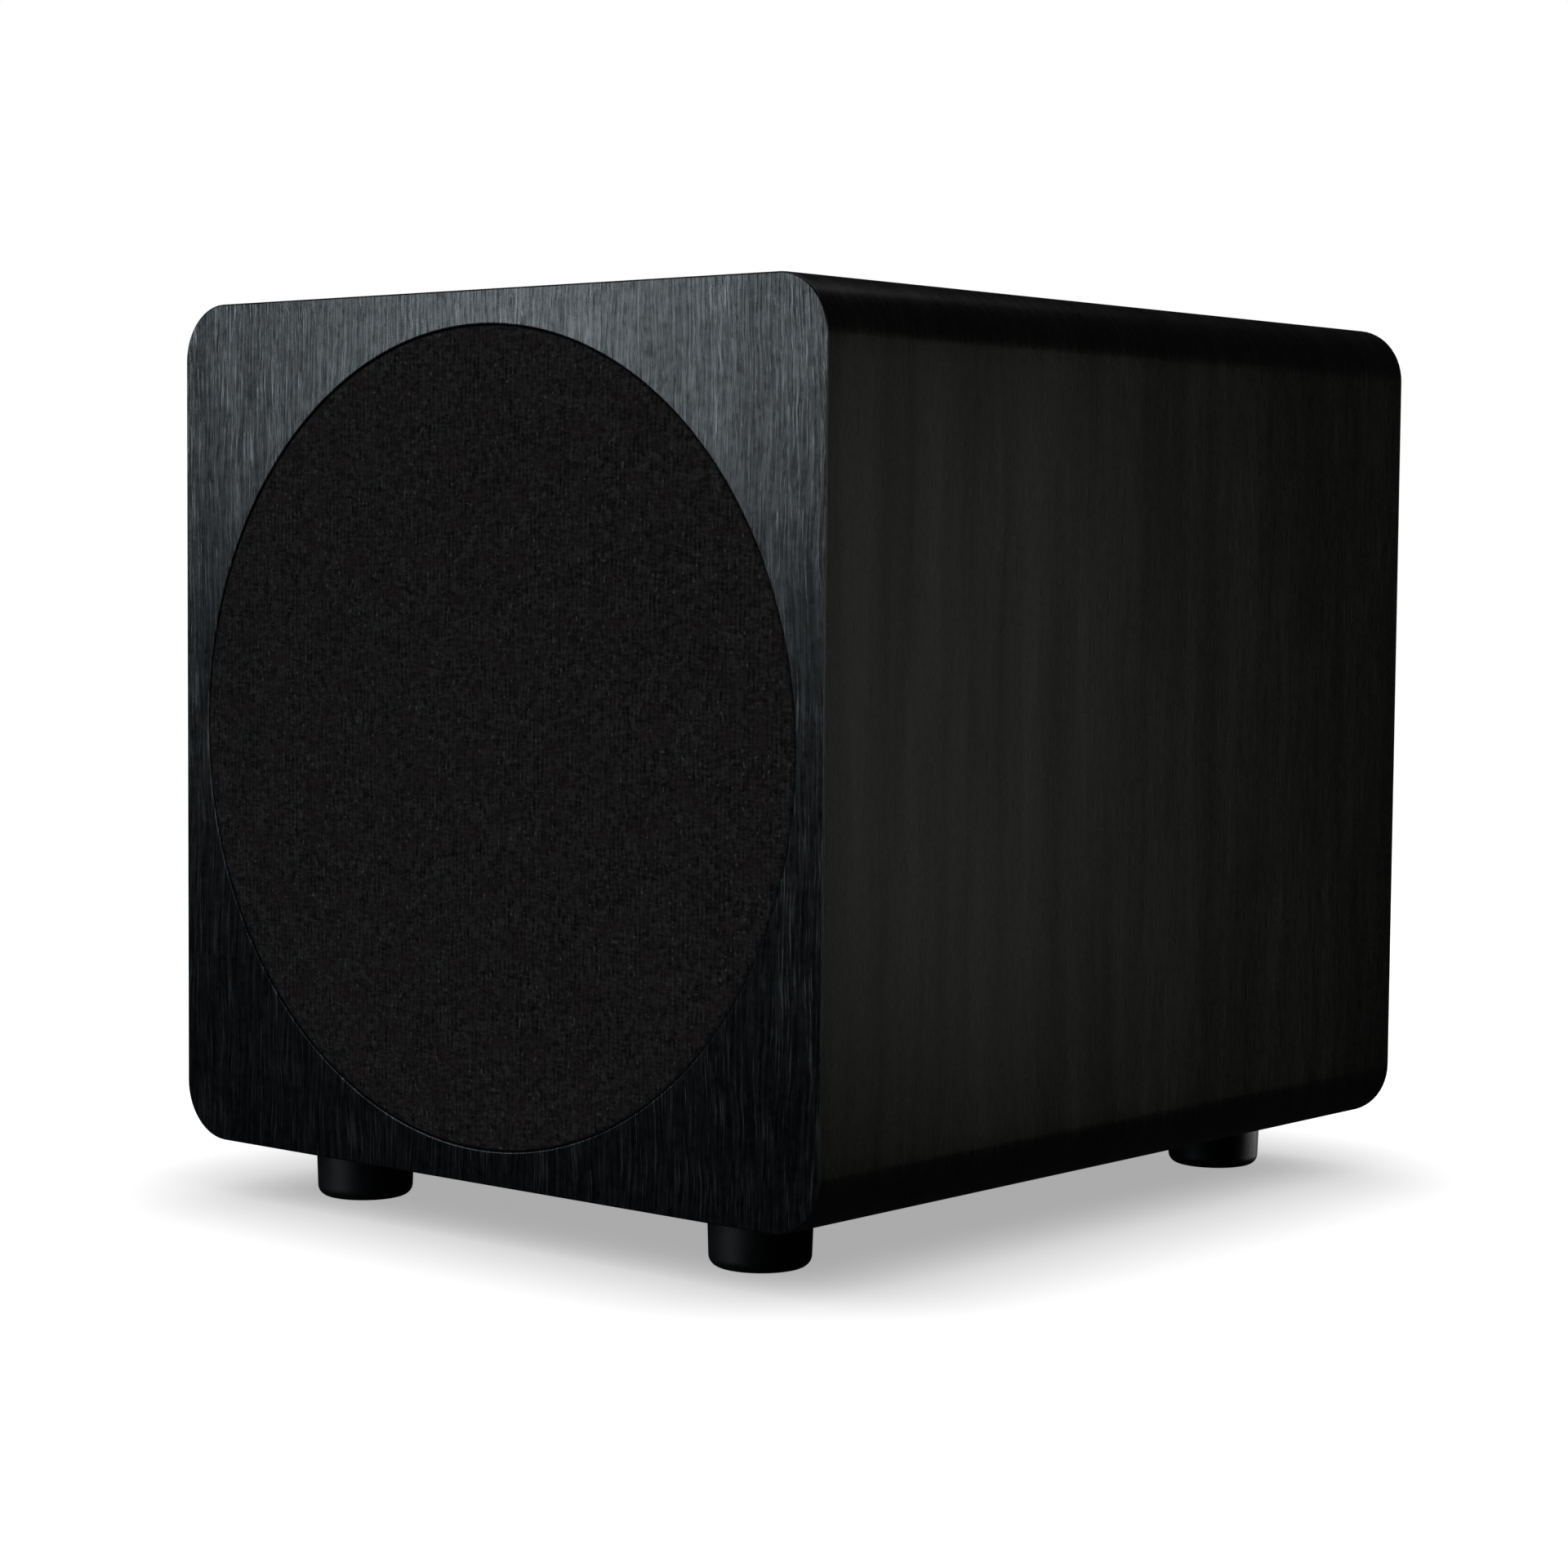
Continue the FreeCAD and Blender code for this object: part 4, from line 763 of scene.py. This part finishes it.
# ---- Grille ----
def build_cloth():
    """The cloth: stretched over the ring, round its edge and on to its back."""
    ring_r, front, back = 151.2, 0.2, 11.4
    face, thick, gap = front - 0.6, 0.55, 0.03
    outer = [(0, face), (60, face), (110, face), (146.5, face), (148.6, face + 0.02)]
    outer += [(149.9, face + 0.12), (150.9, face + 0.36), (151.45, face + 0.75), (ring_r + gap + thick, face + 1.3)]
    outer += [(ring_r + gap + thick, back - 0.3), (ring_r, back + gap + thick), (147, back + gap + thick)]
    inner = [(147, back + gap), (ring_r + gap, back + gap), (ring_r + gap, front + 0.7), (150.9, front + 0.2)]
    inner += [(150.0, front - gap), (110, front - gap), (60, front - gap), (0, front - gap)]
    mesh = sweep("grille_cloth_knit", circle_rail(AXIS_FRONT, 240), outer + inner)
    made = piece("grille_cloth_knit", mesh, "grille", "grille_cloth", 60.0, True)
    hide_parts("grille_cloth")


# ---- Driver ----
def bend_by_radius(made, inner_r, outer_r):
    """How far a blended ring follows the cone: all the way at the inner radius, not at all at the outer one."""
    weights = made.data.attributes["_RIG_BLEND"].data
    for vertex in made.data.vertices:
        away = in_mm(math.hypot(vertex.co.x - AXIS.x, vertex.co.z - AXIS.z))
        share = min(1.0, max(0.0, (outer_r - away) / (outer_r - inner_r)))
        weights[vertex.index].value = share * share * (3 - 2 * share)


def build_surround():
    """The half-roll, with a fine rib at its inner lip."""
    front, thick = 18.0, 0.8
    profile = [(117, front), (117, front + thick)]
    profile += arc((110.6, front + thick), (103.5, front + thick - 7.1), (96.4, front + thick), 22)
    profile += [(96.4, front + thick), (91.3, front + thick), (91.3, front)]
    profile += [(94.6, front), (95.0, front - 0.25), (95.4, front)]
    profile += arc((95.6, front), (103.5, front - 7.1), (111.4, front), 24)
    profile += [(111.4, front)]
    mesh = sweep("surround_roll", circle_rail(AXIS_FRONT, 200), profile)
    made = piece("surround_roll", mesh, None, "surround_rubber", 50.0)
    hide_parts("surround")
    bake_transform(made, "root", "cone_assembly", start=(mm(112), at(front), up(0)), end=(mm(95), at(front), up(0)))
    bend_by_radius(made, 95.8, 111.2)


def build_spider():
    """The corrugated cloth disc."""
    depth, thick, inner, outer, waves, swing = 73.4, 0.8, 30.0, 62.0, 4, 1.8
    pitch = (outer - inner) / (2 * waves)
    face = []
    for i in range(2 * waves):
        r = inner + pitch * i
        peak = swing if i % 2 else -swing
        face += arc((r, depth), (r + pitch / 2, depth + peak), (r + pitch, depth), 8)
    face = [(25.5, depth)] + face + [(outer, depth), (69.4, depth)]
    profile = face + [(r, d + thick) for r, d in reversed(face)]
    mesh = sweep("spider_disc", circle_rail(AXIS_FRONT, 160), profile)
    made = piece("spider_disc", mesh, None, "spider_cloth", 60.0)
    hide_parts("spider")
    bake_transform(made, "root", "cone_assembly", start=(mm(66), at(depth), up(0)), end=(mm(28), at(depth), up(0)))
    bend_by_radius(made, 29.5, 62.5)


def build_tinsel():
    """The two braided leads. Their route repeats the CAD's points."""
    route = [(60, -82.2), (56.5, -79), (59, -71.5), (58.3, -63.5), (54.8, -57.5), (46.6, -50.8)]
    for side, x in (("left", -8), ("right", 8)):
        line = bpy.data.curves.new("tinsel_lead_" + side, "CURVE")
        configure(line, dimensions="3D", bevel_depth=0.0006, bevel_resolution=4, use_fill_caps=True)
        spline = line.splines.new("NURBS")
        spline.points.add(len(route) - 1)
        for point, (depth, height) in zip(spline.points, route):
            point.co = (mm(x), at(depth), up(height), 1)
        configure(spline, order_u=3, use_endpoint_u=True, resolution_u=10)
        drawn = put(line.name, line)
        mesh = bpy.data.meshes.new_from_object(drawn)
        bpy.data.objects.remove(drawn)
        mesh.materials.clear()
        made = piece("tinsel_lead_" + side, tidy(mesh), None, "tinned_tabs", 60.0, material=finishes["tinsel_braid"])
        if side == "left":
            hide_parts("tinsel_leads")
        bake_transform(made, "root", "cone_assembly", start=(mm(x), at(58), up(-79)), end=(mm(x), at(58), up(-53)))


# ---- Wadding ----
def evaluated(obj):
    """A copy of the object's mesh with its modifiers applied."""
    return bpy.data.meshes.new_from_object(obj.evaluated_get(bpy.context.evaluated_depsgraph_get()))


def pad_mesh(width, length, thick):
    """One pad, blown up from a thinner slab and held down where it is stapled. Its back is at z 0."""
    start = bmesh.new()
    bmesh.ops.create_cube(start, size=1.0)
    slab, margin = 0.6 * thick, 0.004
    bmesh.ops.scale(start, vec=(width - 2 * margin, length - 2 * margin, slab), verts=start.verts)
    bmesh.ops.translate(start, vec=(0, 0, slab / 2), verts=start.verts)
    blank = put("pad_start", mesh_of(start, "pad_start"))
    configure(blank.modifiers.new("voxels", "REMESH"), mode="VOXEL", voxel_size=0.006)
    fine = evaluated(blank)
    bpy.data.objects.remove(blank)
    pad = put("pad_work", fine)
    staples = [(sx * width * 0.3, sy * length * 0.28) for sx in (-1, 0, 1) for sy in (-1, 1)]
    staple_reach = 0.006
    rest = [vertex.co.copy() for vertex in fine.vertices]
    held = pad.vertex_groups.new(name="held")
    for vertex in fine.vertices:
        near = min(math.hypot(vertex.co.x - x, vertex.co.y - y) for x, y in staples)
        if near < staple_reach:
            held.add([vertex.index], 1.0, "REPLACE")
            vertex.co.z = min(vertex.co.z, 0.35 * slab)
    cloth = pad.modifiers.new("swell", "CLOTH")
    configure(cloth.settings, quality=4, use_pressure=True, uniform_pressure_force=4.0, vertex_group_mass="held")
    cloth.settings.effector_weights.gravity = 0.0
    cloth.collision_settings.use_collision = False
    scene = bpy.context.scene
    for step in range(1, 21):
        scene.frame_set(step)
    swollen = evaluated(pad)
    scene.frame_set(1)
    most_swell = 0.008
    for vertex, start_place in zip(swollen.vertices, rest):
        move = vertex.co - start_place
        if move.length > most_swell:
            vertex.co = start_place + move.normalized() * most_swell
        vertex.co.x = min(max(vertex.co.x, -width / 2), width / 2)
        vertex.co.y = min(max(vertex.co.y, -length / 2), length / 2)
        vertex.co.z = min(max(vertex.co.z, 0.0), thick - 0.0006)
    bpy.data.objects.remove(pad)
    return swollen


def build_linings():
    """Six pads, of two cuts: one in front of the brace and one behind it, on three walls."""
    brace_low, brace_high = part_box("window_brace")
    gap = mm(2)
    half = mm(126)
    walls = {"lining_left": (90, 0, 0), "lining_right": (-90, 0, 1), "lining_top": (180, 2, 1)}
    first_low, first_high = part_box("lining_left")
    spans = {"front": (first_low.y, brace_low.y - gap), "rear": (brace_high.y + gap, first_high.y)}
    for place, (y0, y1) in spans.items():
        cut = pad_mesh(2 * half, y1 - y0, mm(20))
        for node_name, (angle, axis, wall_end) in walls.items():
            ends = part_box(node_name)
            back = (ends[0] + ends[1]) / 2
            back.y = (y0 + y1) / 2
            back[axis] = ends[wall_end][axis]
            mesh = cut.copy()
            mesh.materials.clear()
            mesh.transform(Matrix.Translation(back) @ Matrix.Rotation(math.radians(angle), 4, "Y"))
            made = piece(f"{node_name}_{place}_pad", mesh, "root", "wadding", 80.0)
            configure(made.modifiers.new("soften", "SUBSURF"), levels=1, render_levels=1)
            if place == "front":
                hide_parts(node_name)


# ---- Amplifier ----
VOLUME_AT, CROSSOVER_AT = (70.0, 8.0), (25.0, 8.0)
PHASE_AT, MODE_AT = (-25.0, 8.0), (-60.0, 8.0)
LED_AT = (-88.0, 8.0)
JACKS_AT = [(-14.0, -28.0), (-36.0, -28.0), (-62.0, -28.0), (-84.0, -28.0)]
INLET_AT, ROCKER_AT = (-45.0, -85.0), (-88.0, -85.0)
INK_MM = 0.06
REAR_FROM_MM = 300.0  # pieces wholly behind this depth are lit by the rear lights
AMP_FACE_MM = depth_of(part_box("amp_plate")[1].y)


def flat_shapes(name, outlines, depth, thick):
    """Closed plates in the XZ plane, standing out from a depth towards the back."""
    work = bmesh.new()
    for outline in outlines:
        near = [work.verts.new((mm(x), at(depth), up(h))) for x, h in outline]
        far = [work.verts.new((mm(x), at(depth + thick), up(h))) for x, h in outline]
        work.faces.new(near)
        work.faces.new(list(reversed(far)))
        for i in range(len(outline)):
            k = (i + 1) % len(outline)
            work.faces.new((near[i], far[i], far[k], near[k]))
    return tidy(mesh_of(work, name), merge=False)


def stroke(x0, h0, x1, h1, width):
    """A bar between two points, as an outline."""
    length = math.hypot(x1 - x0, h1 - h0)
    nx, nh = (h0 - h1) / length * width / 2, (x1 - x0) / length * width / 2
    return [(x0 + nx, h0 + nh), (x1 + nx, h1 + nh), (x1 - nx, h1 - nh), (x0 - nx, h0 - nh)]


def frame_strokes(x, h, half_x, half_h, width):
    """Four bars that frame a box."""
    w = width / 2
    level = [stroke(x - half_x - w, edge, x + half_x + w, edge, width) for edge in (h + half_h, h - half_h)]
    upright = [stroke(edge, h - half_h + w, edge, h + half_h - w, width) for edge in (x - half_x, x + half_x)]
    return level + upright


def dial(x, h, count, inner, outer, width):
    """Ticks over 300 degrees round a knob, longer at both ends and in the middle."""
    made = []
    for i in range(count):
        angle = math.radians(240 - 300 * i / (count - 1))
        reach = outer + (0.9 if i in (0, count // 2, count - 1) else 0)
        c, s = math.cos(angle), math.sin(angle)
        made.append(stroke(x + inner * c, h + inner * s, x + reach * c, h + reach * s, width))
    return made


def disc(x, h, radius, count=20):
    return [(x + radius * math.cos(FULL_TURN * i / count), h + radius * math.sin(FULL_TURN * i / count))
            for i in range(count)]


def ring(x, h, radius, width):
    """Short bars round a circle."""
    points = disc(x, h, radius)
    return [stroke(*points[i - 1], *points[i], width) for i in range(len(points))]


def build_print():
    """Plain marks on the amplifier's plate, without lettering."""
    shapes = []
    for x, h in (VOLUME_AT, CROSSOVER_AT):
        shapes += dial(x, h, 11, 12.4, 14.4, 0.55)
    for (x, h), stops in ((PHASE_AT, (-2, 2)), (MODE_AT, (-2, 0, 2))):
        shapes += [stroke(x + dx * 1.9, h + 5.4, x + dx * 1.9, h + 7.4, 0.55) for dx in stops]
        shapes.append(stroke(x - 6, h - 5.6, x + 6, h - 5.6, 0.4))
    for left, right, inward in ((JACKS_AT[1], JACKS_AT[0], True), (JACKS_AT[3], JACKS_AT[2], False)):
        middle = (left[0] + right[0]) / 2
        shapes += frame_strokes(middle, left[1], 20.6, 9.4, 0.45)
        tip = -1.6 if inward else 1.6
        shapes.append([(middle - 1.5, left[1] - tip), (middle, left[1] + tip), (middle + 1.5, left[1] - tip)])
    shapes.append(disc(LED_AT[0], LED_AT[1] + 6.4, 0.7))
    x, h = ROCKER_AT
    shapes.append(stroke(x, h + 17.2, x, h + 20.2, 0.55))
    shapes += ring(x, h - 18.8, 1.4, 0.5)
    shapes += frame_strokes((INLET_AT[0] + ROCKER_AT[0]) / 2 + 4, INLET_AT[1], 40.5, 23.5, 0.45)
    mesh = flat_shapes("plate_marks", shapes, AMP_FACE_MM, INK_MM)
    piece("plate_marks", mesh, "root", "amp_black", material=finishes["print_pale"])


def build_pointers():
    """A pale line in each knob's groove and down its side."""
    for name, (x, h), body in (("volume_pointer", VOLUME_AT, "volume_control"),
                               ("crossover_pointer", CROSSOVER_AT, "crossover_control")):
        face = depth_of(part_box(name.replace("pointer", "knob"))[1].y)
        mesh = flat_shapes(name, [stroke(x, h + 2.7, x, h + 9.0, 0.9)], face - 0.5, 0.42)
        piece(name, mesh, body, "knob_black", material=finishes["print_pale"])


def build_jacks():
    """Phono jacks: a hexagon, a plated barrel with a rolled lip, and a coloured core with the pin's hole."""
    board, face, reach = 366.0, AMP_FACE_MM, 11.0
    shells = []
    cores = {"red": [], "white": []}
    for index, (x, h) in enumerate(JACKS_AT):
        centre = Vector((mm(x), CABINET_LOW.y, up(h)))
        hexagon = [(4.1, face), (6.35, face), (6.35, face + 1.7), (6.05, face + 2.0), (4.1, face + 2.0)]
        shells.append(sweep("hexagon", circle_rail(centre, 6), hexagon))
        tip = face + reach
        barrel = [(3.3, board), (4.15, board), (4.15, face + 2.4), (4.02, face + 2.6), (4.02, face + 2.9)]
        barrel += [(4.15, face + 3.1), (4.15, tip - 1.3), (4.15, tip - 0.35), (3.98, tip - 0.05), (3.72, tip)]
        barrel += [(3.5, tip - 0.05), (3.3, tip - 0.35)]
        shells.append(sweep("barrel", circle_rail(centre, 72), barrel))
        core = [(0, 372), (3.28, 372), (3.28, tip - 0.6), (3.1, tip - 0.4), (2.0, tip - 0.4), (1.65, tip - 0.75)]
        core += [(1.65, face + 0.5), (0, face + 0.5)]
        colour = "red" if index % 2 == 0 else "white"
        cores[colour].append(sweep("core", circle_rail(centre, 56), core))
    made = piece("jack_shells", joined("jack_shells", shells), "root", "jack_nickel", 30.0)
    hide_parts("rca_jacks")
    for colour, meshes in cores.items():
        name = f"jack_cores_{colour}"
        piece(name, joined(name, meshes), "root", "jack_nickel", 30.0, material=finishes["jack_core_" + colour])


build_front_panel()
build_wrap()
build_feet()
build_cloth()
build_surround()
build_spider()
build_tinsel()
build_linings()
build_print()
build_pointers()
build_jacks()


# ---- Floor, camera and light ----
def build_floor():
    """A pale floor. It glows, and glows less round the object: a painted soft shadow, on top of the floor lamp's own
    shadow. The rest stays white.
    """
    made = Finish("floor", Base_Color=(0.82, 0.82, 0.82, 1), Roughness=0.9, Specular_IOR_Level=0.1,
                  Emission_Color=(1, 1, 1, 1))
    place = made.axes()
    inset, reach = 0.055, 0.19  # the painted shadow starts to lighten that far inside the cabinet's sides, and fades out over that distance
    # The first is the floor's emission under the cabinet, dimmed as a painted shadow; the second is its emission well
    # away from it.
    painted_shadow_level, bright = 0.4, 1.05
    outside = []
    for axis, low, high in (("X", CABINET_LOW.x, CABINET_HIGH.x), ("Y", CABINET_LOW.y, CABINET_HIGH.y)):
        from_middle = made.math("ABSOLUTE", made.math("SUBTRACT", place[axis], (low + high) / 2))
        beyond = made.math("MAXIMUM", made.math("SUBTRACT", from_middle, (high - low) / 2 - inset), 0.0)
        outside.append(made.times(beyond, beyond))
    away = made.math("SQRT", made.plus(*outside))
    # Emission that dims towards the cabinet's footprint: a painted shadow.
    glow_with_painted_shadow = made.node("MapRange", {0: away, 1: 0.0, 2: reach, 3: painted_shadow_level, 4: bright}, interpolation_type="SMOOTHSTEP")
    dust = made.noise(made.place(), 30.0)
    made.drive("Emission Strength", made.math("MULTIPLY_ADD", dust, 0.01, glow_with_painted_shadow))
    rail = circle_rail(Vector(), 96, Z)
    work = bmesh.new()
    rim = [work.verts.new(away_from * 9.0) for _, away_from in rail]
    work.faces.new(rim)
    floor = put("floor", mesh_of(work, "floor"))
    floor.data.materials.append(made.material)
    configure(floor, visible_glossy=False, visible_diffuse=False)
    floor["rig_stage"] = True
    return floor


def build_camera():
    """The photograph's camera, in cabinet heights from the middle of the cabinet's underside."""
    place = Vector((2.78175, -3.32215, 0.70811)) * CABINET_H
    azimuth, pitch, roll = 40.30, 3.73, math.radians(0.495)
    ahead, right = direction(azimuth + 90, -pitch), direction(azimuth, 0)
    above = right.cross(ahead)
    rolled_right = right * math.cos(roll) + above * math.sin(roll)
    rolled_above = above * math.cos(roll) - right * math.sin(roll)
    lens = bpy.data.cameras.new("camera")
    configure(lens, lens=80.35, sensor_width=36.0)
    camera = put("camera", lens)
    turn = Matrix((rolled_right, rolled_above, -ahead)).transposed().to_4x4()
    foot = Vector((CABINET_MIDDLE.x, CABINET_MIDDLE.y, CABINET_LOW.z))
    camera.matrix_world = Matrix.Translation(foot + place) @ turn
    bpy.context.scene.camera = camera


def direction(azimuth, elevation):
    """Azimuth 0 is +X and 90 is +Y."""
    a, e = math.radians(azimuth), math.radians(elevation)
    return Vector((math.cos(a) * math.cos(e), math.sin(a) * math.cos(e), math.sin(e)))


def build_light(name, target, azimuth, elevation, distance, width, height, radiance, tint, only):
    """A soft rectangular light that faces its target. radiance is what its surface sends to each side."""
    lamp = bpy.data.lights.new(name, "AREA")
    configure(lamp, shape="RECTANGLE", size=width, size_y=height, color=tint)
    lamp.energy = radiance * math.pi * width * height
    made = put(name, lamp)
    made.location = Vector(target) + direction(azimuth, elevation) * distance
    made.rotation_euler = direction(azimuth, elevation).to_track_quat("Z", "Y").to_euler()
    made.visible_camera = False
    made.light_linking.receiver_collection = only


def front_of(obj):
    """The lowest Y of an object's box."""
    return min((obj.matrix_world @ Vector(corner)).y for corner in obj.bound_box)


def light_group(name, members, excluded=False):
    """A collection for light linking: only its members are lit, or all but them."""
    group = bpy.data.collections.new(name)
    for member in members:
        group.objects.link(member)
    if excluded:
        for entry in group.collection_objects:
            entry.light_linking.link_state = "EXCLUDE"
    return group


def build_world():
    """White for the camera and nearly dark for the object, which the lights alone shape."""
    world = bpy.data.worlds.new("studio")
    bpy.context.scene.world = world
    world.use_nodes = True
    made = Tree(world.node_tree)
    made.tree.nodes.clear()
    seen = made.node("Background", {"Color": (1, 1, 1, 1)})
    felt = made.node("Background", {"Color": (0.9, 0.95, 1, 1), "Strength": 0.006})
    to_camera = made.node("LightPath", {}).outputs["Is Camera Ray"]
    made.node("OutputWorld", {"Surface": made.node("MixShader", {0: to_camera, 1: felt, 2: seen})})


def build_lights(floor):
    """Each light reaches one group of pieces. The first four, foot_glow and floor_lamp make the photograph's light,
    and the rest serve the other views."""
    body = light_group("all_but_floor", [floor], True)
    ground = light_group("floor_only", [floor])
    rubber = [o for o in bpy.data.objects if o.name.startswith("rubber_foot")]
    feet = light_group("feet_only", rubber)
    above_feet = light_group("all_but_floor_and_feet", [floor, *rubber], True)
    skin = light_group("skin_only", [bpy.data.objects["vinyl_wrap_skin"]])
    behind = [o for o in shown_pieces() if not o.get("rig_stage") and front_of(o) > at(REAR_FROM_MM)]
    rear = light_group("rear_only", behind)
    front, centre, back = (Vector((0, y, CABINET_MIDDLE.z)) for y in (CABINET_LOW.y, 0, CABINET_HIGH.y))
    side = Vector((CABINET_HIGH.x, 0, CABINET_MIDDLE.z))
    cool, white = (0.86, 0.96, 1.03), (1, 1, 1)
    lights = [
        # name, target, azimuth, elevation, distance, width, height, radiance, tint, what it lights
        ("key", front, 226.6, 9.8, 2.2, 0.33, 0.53, 7.0, cool, body),
        ("crown", front, 222, 36, 2.2, 0.3, 0.8, 2.0, cool, body),
        ("fill", centre, -50, 6, 2.2, 1.0, 0.8, 1.3, (1, 0.98, 0.96), above_feet),
        ("side_card", side, 49, -2, 2.0, 0.12, 0.74, 1.45, (1, 1, 0.93), above_feet),
        ("front_soft", front, 268, 2, 2.2, 0.9, 0.8, 1.5, cool, above_feet),
        ("right_soft", side, 8, 0, 2.2, 1.0, 0.8, 1.6, (1, 1, 0.97), above_feet),
        ("rim", centre, 132, 7, 2.2, 0.7, 0.5, 0.6, white, body),
        ("overhead", centre, 130, 82, 1.9, 2.2, 2.2, 0.42, white, body),
        ("foot_glow", Vector((0, CABINET_LOW.y, 0)), 250, 5, 1.3, 0.6, 0.2, 6.5, cool, feet),
        ("left_glow", centre, 232, -12, 2.2, 0.8, 0.6, 1.1, cool, skin),
        ("left_soft", centre, 200, 14, 2.2, 1.0, 0.8, 2.6, white, skin),
        ("left_far", centre, 168, -2, 2.2, 0.8, 0.5, 1.7, white, skin),
        ("rear_key", back, 112, 36, 1.6, 0.7, 0.5, 12.0, white, rear),
        ("rear_fill", back, 62, -6, 1.8, 1.3, 0.9, 2.6, white, rear),
        ("floor_lamp", Vector(), 0, 89, 1.6, 5.0, 5.0, 0.5, white, ground),
    ]
    for light in lights:
        build_light(*light)


floor = build_floor()
build_camera()
build_world()
build_lights(floor)
bpy.context.scene.view_settings.view_transform = "Standard"
